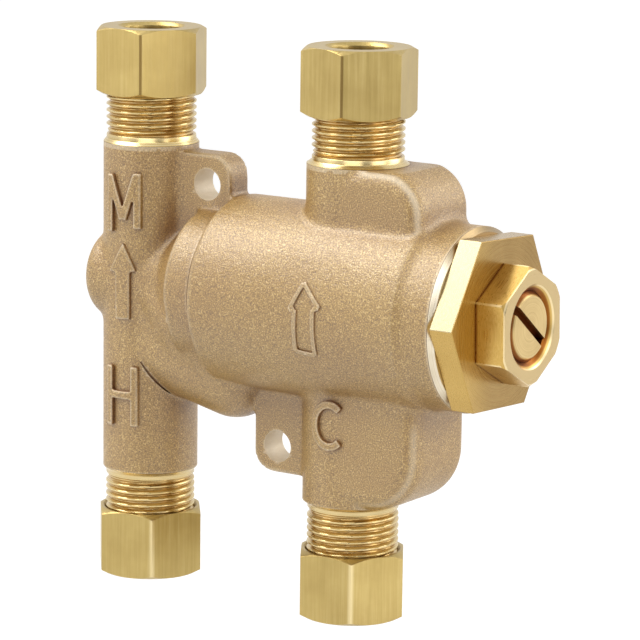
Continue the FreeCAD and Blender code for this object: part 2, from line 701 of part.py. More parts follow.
def compression_nut(port, turn):
    label = port + "_nut"
    body = new_body(label)
    sketch = new_sketch(body, label + "_hexagon", "XY_Plane", "-dim.nut_over")
    hexagon(sketch, "dim.nut_af")
    pad(body, label + "_bar", sketch, "dim.nut_high")
    flat = "dim.nut_af / 2"
    corner = "dim.nut_af / 2 / cos(30 deg) + 0.5"
    slope = "(dim.nut_af / 2 / cos(30 deg) + 0.5 - dim.nut_af / 2) * tan(30 deg)"
    top = "dim.nut_high - dim.nut_over"
    revolve(body, "Groove", label + "_outer_bevel", [
        (flat, top),
        (corner, top + " - " + slope),
        (corner, top + " + 1"),
        (flat, top + " + 1"),
    ], "V_Axis")
    revolve(body, "Groove", label + "_inner_bevel", [
        (flat, "-dim.nut_over"),
        (flat, "-dim.nut_over - 1"),
        (corner, "-dim.nut_over - 1"),
        (corner, "-dim.nut_over + " + slope),
    ], "V_Axis")
    cone = "dim.nut_bore_r - dim.tube_hole_r"
    revolve(body, "Groove", label + "_bore", [
        ("0", "-dim.nut_over - 1"),
        ("dim.nut_bore_r + 0.35", "-dim.nut_over - 1"),
        ("dim.nut_bore_r + 0.35", "-dim.nut_over"),
        ("dim.nut_bore_r", "-dim.nut_over + 0.35"),
        ("dim.nut_bore_r", "dim.nut_cone"),
        ("dim.tube_hole_r", "dim.nut_cone + " + cone),
        ("dim.tube_hole_r", top + " - 0.5"),
        ("dim.tube_hole_r + 0.5", top),
        ("dim.tube_hole_r + 0.5", top + " + 1"),
        ("0", top + " + 1"),
    ], "V_Axis")
    put_on_port(body, port, turn)


def ferrule(port):
    # both cones lie just clear of the socket's mouth and of the nut's inside cone
    start = "dim.ferrule_r - dim.socket_r - dim.mouth_cone + dim.seat_gap"
    finish = "dim.nut_cone + dim.nut_bore_r - dim.ferrule_r - dim.seat_gap"
    edge = "dim.ferrule_bore_r + 0.2"
    narrow = "(dim.ferrule_r - dim.ferrule_bore_r - 0.2)"
    body = turned(port + "_ferrule", [
        ("dim.ferrule_bore_r", "%s - %s" % (start, narrow)),
        (edge, "%s - %s" % (start, narrow)),
        ("dim.ferrule_r", start),
        ("dim.ferrule_r", finish),
        (edge, "%s + %s" % (finish, narrow)),
        ("dim.ferrule_bore_r", "%s + %s" % (finish, narrow)),
    ], "V_Axis")
    put_on_port(body, port, 0)


NUT_TURNS = {"mixed_outlet": -4.6, "cold_outlet": -13.7, "hot_inlet": -8.7, "cold_inlet": -2.3}
for port, turn in NUT_TURNS.items():
    compression_nut(port, turn)
    ferrule(port)


# Check valves and strainers; their own Z points out of the port, zero at the end of the socket

def check_valve(side):
    port = side + "_inlet"
    zero = "-dim.socket_deep - dim.strainer_thick - dim.check_long"
    lip = "%s + dim.check_long - dim.check_lip" % zero
    groove = "%s + dim.check_long - dim.check_lip - 2.4" % zero
    groove_wide = "(2 * dim.small_wire * 0.62)"
    groove_r = "dim.check_r - 0.82 * dim.small_wire"
    body = turned(side + "_check_body", [
        ("dim.check_bore_r", zero),
        ("dim.check_r", zero),
        ("dim.check_r", groove),
        (groove_r, groove),
        (groove_r, groove + " + " + groove_wide),
        ("dim.check_r", groove + " + " + groove_wide),
        ("dim.check_r", "%s + dim.check_long" % zero),
        ("dim.check_port_r + 0.5", "%s + dim.check_long" % zero),
        ("dim.check_port_r", "%s + dim.check_long - 0.5" % zero),
        ("dim.check_port_r", lip),
        ("dim.check_bore_r", lip),
    ], "V_Axis")
    put_on_port(body, port, 0)

    ring_middle = "%s + %s / 2" % (groove, groove_wide)
    seal = turned_ring(side + "_check_oring", ring_middle, groove_r + " + dim.small_wire / 2 - 0.09",
                       "dim.small_wire / 2 - 0.1", "V_Axis")
    put_on_port(seal, port, 0)

    guide = new_body(side + "_check_guide")
    revolve(guide, "Revolution", side + "_check_guide_turned", [
        ("dim.poppet_stem_r + dim.running", zero),
        ("dim.check_bore_r", zero),
        ("dim.check_bore_r", zero + " + dim.check_guide_high / 2"),
        ("dim.check_spring_r - dim.check_wire - 0.1", zero + " + dim.check_guide_high / 2"),
        ("dim.check_spring_r - dim.check_wire - 0.1", zero + " + dim.check_guide_high"),
        ("dim.poppet_stem_r + dim.running", zero + " + dim.check_guide_high"),
    ], "V_Axis")
    pocket_ring(guide, side + "_check_guide_holes", "XY_Plane", zero + " + dim.check_guide_high",
                "(dim.check_bore_r + dim.check_spring_r) / 2 + 0.05", "0.6", "dim.check_guide_high", 8)
    put_on_port(guide, port, 0)

    poppet_back = "%s - dim.check_seal_thick - dim.poppet_thick" % lip
    poppet = turned(side + "_check_poppet", [
        ("0", zero + " + 0.4"),
        ("dim.poppet_stem_r", zero + " + 0.4"),
        ("dim.poppet_stem_r", poppet_back),
        ("dim.poppet_r", poppet_back),
        ("dim.poppet_r", poppet_back + " + dim.poppet_thick"),
        ("dim.poppet_stem_r", poppet_back + " + dim.poppet_thick"),
        ("dim.poppet_stem_r", lip),
        ("0", lip),
    ], "V_Axis")
    put_on_port(poppet, port, 0)

    washer = turned(side + "_check_seal", [
        ("dim.poppet_stem_r", lip + " - dim.check_seal_thick"),
        ("dim.poppet_r", lip + " - dim.check_seal_thick"),
        ("dim.poppet_r", lip),
        ("dim.poppet_stem_r", lip),
    ], "V_Axis")
    put_on_port(washer, port, 0)

    spring_start = "%s + dim.check_guide_high / 2 + dim.check_wire / 2" % zero
    spring_room = "dim.check_long - dim.check_lip - dim.check_seal_thick - dim.poppet_thick"
    spring_high = "%s - dim.check_guide_high / 2 - dim.check_wire" % spring_room
    spring = coil(side + "_check_spring", spring_start, "dim.check_spring_r", "dim.check_wire / 2",
                  "dim.check_pitch", spring_high, "V_Axis")
    put_on_port(spring, port, 0)

    outer = "-dim.socket_deep"
    strainer = new_body(side + "_strainer")
    revolve(strainer, "Revolution", side + "_strainer_turned", [
        ("0", outer + " - dim.strainer_thick"),
        ("dim.check_r", outer + " - dim.strainer_thick"),
        ("dim.check_r", outer),
        ("dim.check_bore_r", outer),
        ("dim.check_bore_r", outer + " - dim.strainer_thick + dim.screen_thick"),
        ("0", outer + " - dim.strainer_thick + dim.screen_thick"),
    ], "V_Axis")
    lift = outer + " - dim.strainer_thick + dim.screen_thick"
    pocket_ring(strainer, side + "_strainer_inner", "XY_Plane", lift, "1.15", "dim.screen_hole_r",
                "dim.screen_thick", 6)
    pocket_ring(strainer, side + "_strainer_outer", "XY_Plane", lift, "2.35", "dim.screen_hole_r",
                "dim.screen_thick", 12)
    put_on_port(strainer, port, 0)


check_valve("hot")
check_valve("cold")

# Bonnet: hexagon, threaded plug, seal groove and a skirt that ends in the cold seat

bonnet = new_body("bonnet")
bonnet_hexagon = new_sketch(bonnet, "bonnet_hexagon", "YZ_Plane", MOUTH)
hexagon(bonnet_hexagon, "dim.bonnet_af")
pad(bonnet, "bonnet_bar", bonnet_hexagon, "dim.bonnet_thick")
cold_seat = COLD_CHAMBER + " + 0.8 + dim.shuttle_gap"
seal_start = COLD_CHAMBER_END + " + 0.8"
seal_wide = "1.25 * dim.ring_wire"
seal_depth = "dim.seal_share * (dim.skirt_r - dim.skirt_bore_r)"
seal_floor = "dim.skirt_r - " + seal_depth
seal_wire = seal_depth + " / 0.82"
revolve(bonnet, "Revolution", "bonnet_plug", [
    (cold_seat, "dim.skirt_bore_r"),
    (cold_seat, "dim.skirt_r - 0.6"),
    (cold_seat + " + 0.6", "dim.skirt_r"),
    (seal_start, "dim.skirt_r"),
    (seal_start, seal_floor),
    (seal_start + " + " + seal_wide, seal_floor),
    (seal_start + " + " + seal_wide, "dim.skirt_r"),
    (LAND_END + " + 0.3", "dim.skirt_r"),
    (LAND_END + " + 0.3", "dim.plug_r - 0.5"),
    (LAND_END + " + 0.8", "dim.plug_r"),
    (MOUTH, "dim.plug_r"),
    (MOUTH + " + 0.5", "dim.plug_r"),
    (MOUTH + " + 0.5", "dim.skirt_bore_r"),
], "H_Axis")
bonnet_front = MOUTH + " + dim.bonnet_thick"
revolve(bonnet, "Groove", "bonnet_hole", [
    (cold_seat + " - 1", "0"),
    (bonnet_front + " + 1", "0"),
    (bonnet_front + " + 1", "dim.stem_r + dim.running"),
    (SKIRT_FLOOR, "dim.stem_r + dim.running"),
    (SKIRT_FLOOR, "dim.skirt_bore_r"),
    (cold_seat + " - 1", "dim.skirt_bore_r"),
], "H_Axis")
spin(bonnet, AXIS_X, 56.9)
put_on_barrel(bonnet)

bonnet_oring = turned_ring("bonnet_oring", "%s + %s / 2" % (seal_start, seal_wide),
                           seal_floor + " + %s / 2 - 0.15" % seal_wire, seal_wire + " / 2 - 0.17", "H_Axis")
put_on_barrel(bonnet_oring)

# Adjusting stem with its flange, seal groove and slot

stem = new_body("adjusting_stem")
stem_seal = SKIRT_FLOOR + " + 1.2"
stem_seal_wide = "1.25 * dim.ring_wire"
stem_seal_floor = "dim.stem_r - 0.82 * dim.ring_wire"
revolve(stem, "Revolution", "stem_turned", [
    (STEM_FOOT, "0"),
    (STEM_FOOT, "dim.stem_flange_r"),
    (STEM_FOOT + " + dim.stem_flange", "dim.stem_flange_r"),
    (STEM_FOOT + " + dim.stem_flange", "dim.stem_r"),
    (stem_seal, "dim.stem_r"),
    (stem_seal, stem_seal_floor),
    (stem_seal + " + " + stem_seal_wide, stem_seal_floor),
    (stem_seal + " + " + stem_seal_wide, "dim.stem_r"),
    (STEM_END + " - 0.7", "dim.stem_r"),
    (STEM_END, "dim.stem_r - 0.7"),
    (STEM_END, "0"),
], "H_Axis")
slot_sketch = new_sketch(stem, "stem_slot_outline", "YZ_Plane", STEM_END)
outline(slot_sketch, [
    ("-dim.stem_r - 1", "-dim.slot_wide / 2"),
    ("dim.stem_r + 1", "-dim.slot_wide / 2"),
    ("dim.stem_r + 1", "dim.slot_wide / 2"),
    ("-dim.stem_r - 1", "dim.slot_wide / 2"),
])
slot = stem.newObject("PartDesign::Pocket", "stem_slot")
slot.Profile = slot_sketch
slot.setExpression("Length", "dim.slot_deep")
stem.Tip = slot
spin(stem, AXIS_X, -37.5)
put_on_barrel(stem)

stem_oring = turned_ring("stem_oring", "%s + %s / 2" % (stem_seal, stem_seal_wide),
                         stem_seal_floor + " + dim.ring_wire / 2 - 0.15",
                         "dim.ring_wire / 2 - 0.17", "H_Axis")
put_on_barrel(stem_oring)

# Lock nut with a countersunk face

lock = new_body("lock_nut")
lock_sketch = new_sketch(lock, "lock_hexagon", "YZ_Plane", bonnet_front + " + dim.seat_gap")
hexagon(lock_sketch, "dim.lock_af")
pad(lock, "lock_bar", lock_sketch, "dim.lock_thick")
lock_back = bonnet_front + " + dim.seat_gap"
lock_front = lock_back + " + dim.lock_thick"
lock_corner = "dim.lock_af / 2 / cos(30 deg) + 0.5"
lock_face = "dim.lock_af / 2 + 0.6"
lock_slope = "(%s - %s) * tan(30 deg)" % (lock_corner, lock_face)
revolve(lock, "Groove", "lock_front_bevel", [
    (lock_front, lock_face),
    (lock_front + " + 1", lock_face),
    (lock_front + " + 1", lock_corner),
    (lock_front + " - " + lock_slope, lock_corner),
], "H_Axis")
revolve(lock, "Groove", "lock_bore", [
    (lock_back + " - 1", "0"),
    (lock_front + " + 1", "0"),
    (lock_front + " + 1", "dim.sink_r"),
    (lock_front, "dim.sink_r"),
    (lock_front + " - dim.sink_r + dim.stem_r + dim.running", "dim.stem_r + dim.running"),
    (lock_back + " - 1", "dim.stem_r + dim.running"),
], "H_Axis")
spin(lock, AXIS_X, 32.0)
put_on_barrel(lock)

# Overtravel unit: cup, clip, plunger and spring

cup_end = STEM_FOOT + " - dim.seat_gap"
travel_cup = turned("overtravel_cup", [
    (TRAVEL_CUP, "dim.travel_bore_r"),
    (TRAVEL_CUP, "dim.travel_cup_r"),
    (cup_end, "dim.travel_cup_r"),
    (cup_end, "0"),
    (cup_end + " - dim.travel_floor", "0"),
    (cup_end + " - dim.travel_floor", "dim.travel_bore_r"),
], "H_Axis")
put_on_barrel(travel_cup)

clip = turned("overtravel_clip", [
    (TRAVEL_CUP, "dim.travel_bore_r"),
    (TRAVEL_CUP, "dim.travel_bore_r - dim.clip_reach"),
    (TRAVEL_CUP + " + dim.clip_thick", "dim.travel_bore_r - dim.clip_reach"),
    (TRAVEL_CUP + " + dim.clip_thick", "dim.travel_bore_r"),
], "H_Axis")
put_on_barrel(clip)

plunger_face = TRAVEL_CUP + " + dim.clip_thick + dim.seat_gap"
plunger_back = plunger_face + " + dim.plunger_thick"
plunger_r = "dim.travel_bore_r - dim.running"
pin_hole_r = "dim.piston_r + dim.running"
plunger = turned("overtravel_plunger", [
    (plunger_face + " + dim.plunger_socket", "0"),
    (plunger_face + " + dim.plunger_socket", pin_hole_r),
    (plunger_face, pin_hole_r),
    (plunger_face, plunger_r),
    (plunger_back, plunger_r),
    (plunger_back, "dim.heavy_r - dim.heavy_wire / 2 - 0.3"),
    (plunger_back + " + 1.2", "dim.heavy_r - dim.heavy_wire / 2 - 0.6"),
    (plunger_back + " + 1.2", "0"),
], "H_Axis")
put_on_barrel(plunger)

heavy_start = plunger_back + " + dim.heavy_wire / 2"
heavy_high = "(%s - dim.travel_floor) - (%s) - dim.heavy_wire" % (cup_end, plunger_back)
heavy = coil("overtravel_spring", heavy_start, "dim.heavy_r", "dim.heavy_wire / 2", "dim.heavy_pitch",
             heavy_high, "H_Axis")
put_on_barrel(heavy)

# Shuttle with a web that carries the wax element

shuttle = new_body("shuttle")
shuttle_start = "dim.seat_x + dim.shuttle_gap"
shuttle_end = COLD_CHAMBER + " + 0.8"
shuttle_r = "dim.bore_r - dim.running"
shuttle_groove = "(%s + %s) / 2 + 1.5" % (shuttle_start, shuttle_end)
shuttle_groove_wide = "1.25 * dim.ring_wire"
shuttle_floor = "dim.bore_r - dim.running - 0.82 * dim.ring_wire"
revolve(shuttle, "Revolution", "shuttle_turned", [
    (shuttle_start, "dim.shuttle_bore_r"),
    (shuttle_start, shuttle_r),
    (shuttle_groove, shuttle_r),
    (shuttle_groove, shuttle_floor),
    (shuttle_groove + " + " + shuttle_groove_wide, shuttle_floor),
    (shuttle_groove + " + " + shuttle_groove_wide, shuttle_r),
    (shuttle_end, shuttle_r),
    (shuttle_end, "dim.shuttle_bore_r"),
    (shuttle_groove + " + 1.3 * " + shuttle_groove_wide, "dim.shuttle_bore_r"),
    (shuttle_groove + " + " + shuttle_groove_wide, "dim.shuttle_bore_r - 0.6"),
    (shuttle_groove, "dim.shuttle_bore_r - 0.6"),
    ("dim.web_x + dim.web_thick", "dim.shuttle_bore_r - 0.6"),
    ("dim.web_x + dim.web_thick", "dim.hub_r"),
    ("dim.web_x", "dim.hub_r"),
    ("dim.web_x", "dim.shuttle_bore_r"),
], "H_Axis")
pocket_ring(shuttle, "shuttle_water_holes", "YZ_Plane", "dim.web_x + dim.web_thick", "dim.web_hole_at",
            "dim.web_hole_r", "dim.web_thick", 8)
put_on_barrel(shuttle)

shuttle_oring = turned_ring("shuttle_oring", "%s + %s / 2" % (shuttle_groove, shuttle_groove_wide),
                            shuttle_floor + " + dim.ring_wire / 2 - 0.15",
                            "dim.ring_wire / 2 - 0.17", "H_Axis")
put_on_barrel(shuttle_oring)

# Wax element: cup, guide with a flange on the web, and piston

element_cup = turned("element_cup", [
    ("dim.cup_start", "0"),
    ("dim.cup_start", "dim.cup_r - 1.2"),
    ("dim.cup_start + 1.2", "dim.cup_r"),
    ("dim.web_x - 1.6", "dim.cup_r"),
    ("dim.web_x - 1.6", "0"),
], "H_Axis")
put_on_barrel(element_cup)

element_guide = turned("element_guide", [
    ("dim.web_x - 1.6", "dim.piston_r + dim.running"),
    ("dim.web_x - 1.6", "dim.cup_r - 0.2"),
    ("dim.web_x", "dim.cup_r - 0.2"),
    ("dim.web_x", "dim.hub_r"),
    ("dim.web_x + dim.web_thick + 0.4", "dim.hub_r"),
    ("dim.web_x + dim.web_thick + 0.4", "dim.guide_nose_r"),
    ("dim.guide_end", "dim.guide_nose_r"),
    ("dim.guide_end", "dim.piston_r + dim.running"),
], "H_Axis")
put_on_barrel(element_guide)

element_piston = turned("element_piston", [
    ("dim.piston_start", "0"),
    ("dim.piston_start", "dim.piston_r"),
    (plunger_face + " + dim.plunger_socket", "dim.piston_r"),
    (plunger_face + " + dim.plunger_socket", "0"),
], "H_Axis")
put_on_barrel(element_piston)

return_spring = coil("return_spring", "dim.mix_start + dim.spring_wire / 2", "dim.spring_r",
                     "dim.spring_wire / 2", "dim.spring_pitch",
                     "dim.web_x - dim.mix_start - dim.spring_wire", "H_Axis")
put_on_barrel(return_spring)

# Every feature is sound before anything is written

doc.recompute()
faults = []
for item in doc.Objects:
    if "Invalid" in item.State or "Error" in item.State:
        faults.append(item.Name)
for item in parts:
    if item.Shape.isNull() or not item.Shape.isValid() or len(item.Shape.Solids) != 1:
        faults.append(item.Label)
if faults:
    raise RuntimeError("unsound features: " + ", ".join(faults))

os.makedirs("parts", exist_ok=True)
for item in parts:
    item.Shape.exportStep("parts/%s.step" % item.Label)
print("wrote %d parts" % len(parts))
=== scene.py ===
import bmesh
import bpy
import math
import numpy as np
from collections import namedtuple
from mathutils import Matrix, Vector
from mathutils.bvhtree import BVHTree


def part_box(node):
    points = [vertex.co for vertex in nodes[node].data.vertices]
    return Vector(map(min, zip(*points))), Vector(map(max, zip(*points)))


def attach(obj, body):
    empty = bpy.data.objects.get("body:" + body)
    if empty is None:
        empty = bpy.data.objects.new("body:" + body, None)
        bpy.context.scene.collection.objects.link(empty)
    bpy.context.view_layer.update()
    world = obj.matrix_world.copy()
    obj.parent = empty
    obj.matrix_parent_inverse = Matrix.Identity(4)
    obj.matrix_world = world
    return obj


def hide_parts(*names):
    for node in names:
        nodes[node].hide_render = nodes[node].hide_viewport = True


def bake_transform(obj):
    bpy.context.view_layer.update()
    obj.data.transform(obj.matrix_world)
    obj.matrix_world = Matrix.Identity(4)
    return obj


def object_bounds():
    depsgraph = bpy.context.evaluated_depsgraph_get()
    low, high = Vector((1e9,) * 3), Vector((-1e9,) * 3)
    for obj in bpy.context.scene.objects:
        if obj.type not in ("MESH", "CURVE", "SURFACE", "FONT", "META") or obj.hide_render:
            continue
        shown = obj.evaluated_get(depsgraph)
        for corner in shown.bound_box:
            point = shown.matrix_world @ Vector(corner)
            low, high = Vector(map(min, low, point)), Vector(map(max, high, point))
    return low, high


# Point-of-use mixing valve: sand-cast bronze body with machined brass ends, nuts and bonnet.
# Pieces are drawn in millimetres from the crossing of the barrel and hot column axes, and then
# moved to the frame's own metres.

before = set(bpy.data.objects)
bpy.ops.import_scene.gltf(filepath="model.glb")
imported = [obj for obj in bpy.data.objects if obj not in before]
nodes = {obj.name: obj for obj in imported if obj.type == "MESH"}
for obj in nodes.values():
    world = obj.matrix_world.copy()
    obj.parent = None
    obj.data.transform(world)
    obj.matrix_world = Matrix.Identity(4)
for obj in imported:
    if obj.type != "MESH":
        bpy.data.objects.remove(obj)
cad_low, cad_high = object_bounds()
scene = bpy.context.scene

MM = 0.001
CROSSING = Vector((-12.75, 0, -16.25))
TO_FRAME = Matrix.Scale(MM, 4) @ Matrix.Translation(CROSSING)
TO_DRAWING = TO_FRAME.inverted()
BARREL_LINE = (CROSSING.x * MM, 0, CROSSING.z * MM)

# Layout, from the part's own sizes
COLD_X = 39.25
HOT_R = 7.6
COLD_R = 7.9
COLUMN_TOP = 22.4
COLUMN_LOW = -31.3
SHOULDER = 0.6
BARREL_R = 15
COLLAR_END = 61.0
COLLAR_R = 14.2
MOUTH_X = 61.8
MOUTH_R = 13.4
PLUG_BORE_R = 11.7
UPPER_HOLE = (12.75, 16.25)
LOWER_HOLE = (26.6, -23.75)
LUG_HOLE_R = 2.5
LOBE_R = 7.2
LOBE_DROP = 9.6
LOBE_SLOPE = math.radians(13.0)
STEM_END = 70.4

# Inside: chambers and lands of the barrel, passages of the columns, and the ways between them
CHAMBER_R = 12.4
LAND_R = 10.5
TAIL_R = 8.2
CHECK_R = 4.6
PASSAGE_R = 3.9
WAY_R = 3.6
WAY_END = 50.1
COLD_WAY_X = 46.5
UPPER_WAY_Z = 16.3
LOWER_WAY_Z = -19.6
HOT_WAY_Z = -13.4

# The ring left of the barrel, each as place and radius: its corners and the hollow line at its right
RING_LEFT = (11.3, 10.5)
RING_RIGHT = (17.4, 12.6)
RING_LINE = (16.9, 12.75)

# Height of the raised arrow on the barrel and depth of the hollow under it
ARROW_HEIGHT = 0.34

# Fine steps round a circle, and the distance below which two points are one
ROUND = 96
SAME_POINT = 0.0000002

# Tube ends: place and radius of the column, end of the casting, way out, length of the thread, radius of the
# passage, depth of the socket
PITCH = 1.0583
THREAD_ROOT = 6.58
THREAD_CREST = 7.145
NECK_R = 7.1
SOCKET_R = 4.8
TubeEnd = namedtuple("TubeEnd", "x radius end out long passage socket")
ENDS = {
    "mixed_outlet": TubeEnd(0, HOT_R, COLUMN_TOP, 1, 11.6, PASSAGE_R, 9.0),
    "cold_outlet": TubeEnd(COLD_X, COLD_R, COLUMN_TOP, 1, 11.2, PASSAGE_R, 9.0),
    "hot_inlet": TubeEnd(0, HOT_R, COLUMN_LOW, -1, 10.6, CHECK_R, 7.5),
    "cold_inlet": TubeEnd(COLD_X, COLD_R, COLUMN_LOW, -1, 11.7, CHECK_R, 7.5),
}


# Mesh helpers

def new_object(name, points, faces):
    mesh = bpy.data.meshes.new(name)
    mesh.from_pydata([tuple(p) for p in points], [], faces)
    work = bmesh.new()
    work.from_mesh(mesh)
    bmesh.ops.recalc_face_normals(work, faces=work.faces)
    work.to_mesh(mesh)
    work.free()
    item = bpy.data.objects.new(name, mesh)
    scene.collection.objects.link(item)
    return item


def lathe(name, profile, axis, centre, steps, wave=None):
    # turns (along, radius) pairs about X, Y or Z; an outline that leaves the axis is closed on itself
    points = []
    faces = []
    loops = []
    for along, radius in profile:
        if radius == 0:
            loops.append([len(points)])
            points.append(on_axis(axis, centre, along, 0, 0))
            continue
        loops.append(list(range(len(points), len(points) + steps)))
        for i in range(steps):
            turn = 2 * math.pi * i / steps
            reach = radius if wave is None else wave(along, radius, turn)
            points.append(on_axis(axis, centre, along, reach * math.cos(turn), reach * math.sin(turn)))
    pairs = list(zip(loops, loops[1:]))
    if len(loops[0]) > 1:
        pairs.append((loops[-1], loops[0]))
    for low, high in pairs:
        for i in range(steps):
            j = (i + 1) % steps
            if len(low) == 1:
                faces.append((low[0], high[i], high[j]))
            elif len(high) == 1:
                faces.append((low[i], high[0], low[j]))
            else:
                faces.append((low[i], high[i], high[j], low[j]))
    return new_object(name, points, faces)


def on_axis(axis, centre, along, a, b):
    # a point along an axis from the centre, and off it by a and b
    x, y, z = centre
    if axis == "X":
        return (x + along, y + a, z + b)
    if axis == "Y":
        return (x + a, y + along, z + b)
    return (x + a, y + b, z + along)


def rod(name, axis, centre, low, high, radius, steps=48):
    return lathe(name, [(low, 0), (low, radius), (high, radius), (high, 0)], axis, centre, steps)


def lug_rods(name, half_long, radius):
    # a rod through each of the two lug holes
    return [rod(name, "Y", (x, 0, z), -half_long, half_long, radius) for x, z in (UPPER_HOLE, LOWER_HOLE)]


def settle(item):
    # applies the modifiers, so that the mesh itself is the finished shape
    graph = bpy.context.evaluated_depsgraph_get()
    made = bpy.data.meshes.new_from_object(item.evaluated_get(graph))
    old = item.data
    item.modifiers.clear()
    item.data = made
    bpy.data.meshes.remove(old)


def discard(items):
    for item in items:
        mesh = item.data
        bpy.data.objects.remove(item)
        bpy.data.meshes.remove(mesh)


def boolean(item, others, operation):
    for other in others:
        change = item.modifiers.new("boolean", "BOOLEAN")
        change.operation = operation
        change.solver = "MANIFOLD"
        change.object = other
    settle(item)
    discard(others)


def remesh(item, voxel):
    change = item.modifiers.new("remesh", "REMESH")
    change.mode = "VOXEL"
    change.voxel_size = voxel
    settle(item)


def keep_outer_shell(item):
    # the shell that holds the leftmost point is the outside
    work = bmesh.new()
    work.from_mesh(item.data)
    first = min(work.verts, key=lambda v: v.co.x)
    seen = {first}
    front = [first]
    while front:
        reached = []
        for vert in front:
            for edge in vert.link_edges:
                other = edge.other_vert(vert)
                if other not in seen:
                    seen.add(other)
                    reached.append(other)
        front = reached
    inner = [v for v in work.verts if v not in seen]
    bmesh.ops.delete(work, geom=inner, context="VERTS")
    work.to_mesh(item.data)
    work.free()


def vertex_normals(co, quads):
    # the mean direction of the quads that meet in each point
    across = np.cross(co[quads[:, 2]] - co[quads[:, 0]], co[quads[:, 3]] - co[quads[:, 1]])
    total = np.zeros_like(co)
    for corner in range(4):
        for k in range(3):
            total[:, k] += np.bincount(quads[:, corner], across[:, k], len(co))
    return total / np.maximum(np.linalg.norm(total, axis=1, keepdims=True), 1e-12)


def soften(item, rounds, fill_rounds=0, creases=(), near=None):
    # rounds off a remeshed skin, all of it or near a spot, in full up to half of its reach; each round moves
    # a point half of the way to the mean of its neighbours; the fill rounds only move points outwards, into
    # the hollow corners, and leave creases alone: each has points, how far it is held and where that has gone
    mesh = item.data
    count = len(mesh.vertices)
    co = np.zeros(count * 3)
    mesh.vertices.foreach_get("co", co)
    co = co.reshape(-1, 3)
    pairs = np.zeros(len(mesh.edges) * 2, int)
    mesh.edges.foreach_get("vertices", pairs)
    pairs = pairs.reshape(-1, 2)
    quads = np.zeros(len(mesh.polygons) * 4, int)
    mesh.polygons.foreach_get("vertices", quads)
    quads = quads.reshape(-1, 4)
    degree = np.bincount(pairs.ravel(), minlength=count)[:, None]
    free = np.ones((count, 1))
    share = np.ones((count, 1))
    if near is not None:
        spot, reach = near
        share = np.clip(2 - 2 * np.linalg.norm(co - np.array(spot), axis=1) / reach, 0, 1)[:, None]
    for spots, held, gone in creases:
        nearest = np.full(count, np.inf)
        for spot in spots:
            nearest = np.minimum(nearest, np.linalg.norm(co - np.array(spot), axis=1))
        free = np.minimum(free, np.clip((nearest - held) / (gone - held), 0, 1)[:, None])
    for step in range(rounds + fill_rounds):
        mean = np.zeros_like(co)
        for k in range(3):
            mean[:, k] += np.bincount(pairs[:, 0], co[pairs[:, 1], k], count)
            mean[:, k] += np.bincount(pairs[:, 1], co[pairs[:, 0], k], count)
        shift = mean / degree - co
        if step >= rounds:
            normal = vertex_normals(co, quads)
            outward = np.sum(shift * normal, axis=1, keepdims=True)
            shift = normal * np.maximum(outward, 0) * free
        co = co + 0.5 * share * shift
    mesh.vertices.foreach_set("co", co.ravel())
    mesh.update()


def hollow_under_arrow(item):
    # a slight flat on the barrel's front, so that the raised arrow ends level with the barrel; it is full
    # over a half width and a half height about the arrow, and fades beyond them
    arrow_x = 39.4
    half_wide = 3.2
    half_high = 5.6
    fade_across = 8
    fade_up = 7
    front_only = -6
    for vert in item.data.vertices:
        x, y, z = vert.co
        if y < front_only:
            across = max(0.0, abs(x - arrow_x) - half_wide) / fade_across
            upward = max(0.0, abs(z) - half_high) / fade_up
            away = min(1.0, math.hypot(across, upward))
            vert.co.y = y + ARROW_HEIGHT * (0.5 + 0.5 * math.cos(math.pi * away))


def swept(name, spots, radii, beside, steps=10):
    # a round rod along a line of points, drawn with the help of a direction that the line never takes
    points = []
    faces = []
    for i, spot in enumerate(spots):
        ahead = (spots[min(i + 1, len(spots) - 1)] - spots[max(i - 1, 0)]).normalized()
        side = ahead.cross(beside).normalized()
        over = side.cross(ahead)
        for j in range(steps):
            turn = 2 * math.pi * j / steps
            points.append(spot + radii[i] * (math.cos(turn) * side + math.sin(turn) * over))
    for i in range(len(spots) - 1):
        for j in range(steps):
            a = i * steps + j
            b = i * steps + (j + 1) % steps
            faces.append((a, b, b + steps, a + steps))
    faces.append(tuple(range(steps)))
    last = (len(spots) - 1) * steps
    faces.append(tuple(reversed(range(last, last + steps))))
    return new_object(name, points, faces)


def shade(item, degrees):
    # smooth shading that breaks at sharp edges
    work = bmesh.new()
    work.from_mesh(item.data)
    for face in work.faces:
        face.smooth = True
    for edge in work.edges:
        edge.smooth = len(edge.link_faces) == 2 and edge.calc_face_angle() < math.radians(degrees)
    work.to_mesh(item.data)
    work.free()


def place(item, body, slot, material, *stands_for):
    # moves a finished piece from the drawing to the frame, gives it its material, puts it on its body and
    # hides the nodes that it stands for
    item.data.transform(TO_FRAME)
    item.data.materials.clear()
    item.data.materials.append(material)
    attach(item, body)
    if stands_for:
        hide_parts(*stands_for)
    return item


# Material helpers: n and k are the nodes and the links of a tree

def new_material(name):
    made = bpy.data.materials.new(name)
    made.use_nodes = True
    return made, made.node_tree.nodes, made.node_tree.links, made.node_tree.nodes["Principled BSDF"]


def spread(n, k, scale):
    # object coordinates, stretched by a scale for each axis
    source = n.new("ShaderNodeTexCoord")
    mapping = n.new("ShaderNodeMapping")
    mapping.inputs["Scale"].default_value = scale
    k.new(source.outputs["Object"], mapping.inputs["Vector"])
    return mapping.outputs["Vector"]


def noise(n, k, place_of, scale, detail, roughness=0.5):
    made = n.new("ShaderNodeTexNoise")
    made.inputs["Scale"].default_value = scale
    made.inputs["Detail"].default_value = detail
    made.inputs["Roughness"].default_value = roughness
    k.new(place_of, made.inputs["Vector"])
    return made.outputs["Fac"]


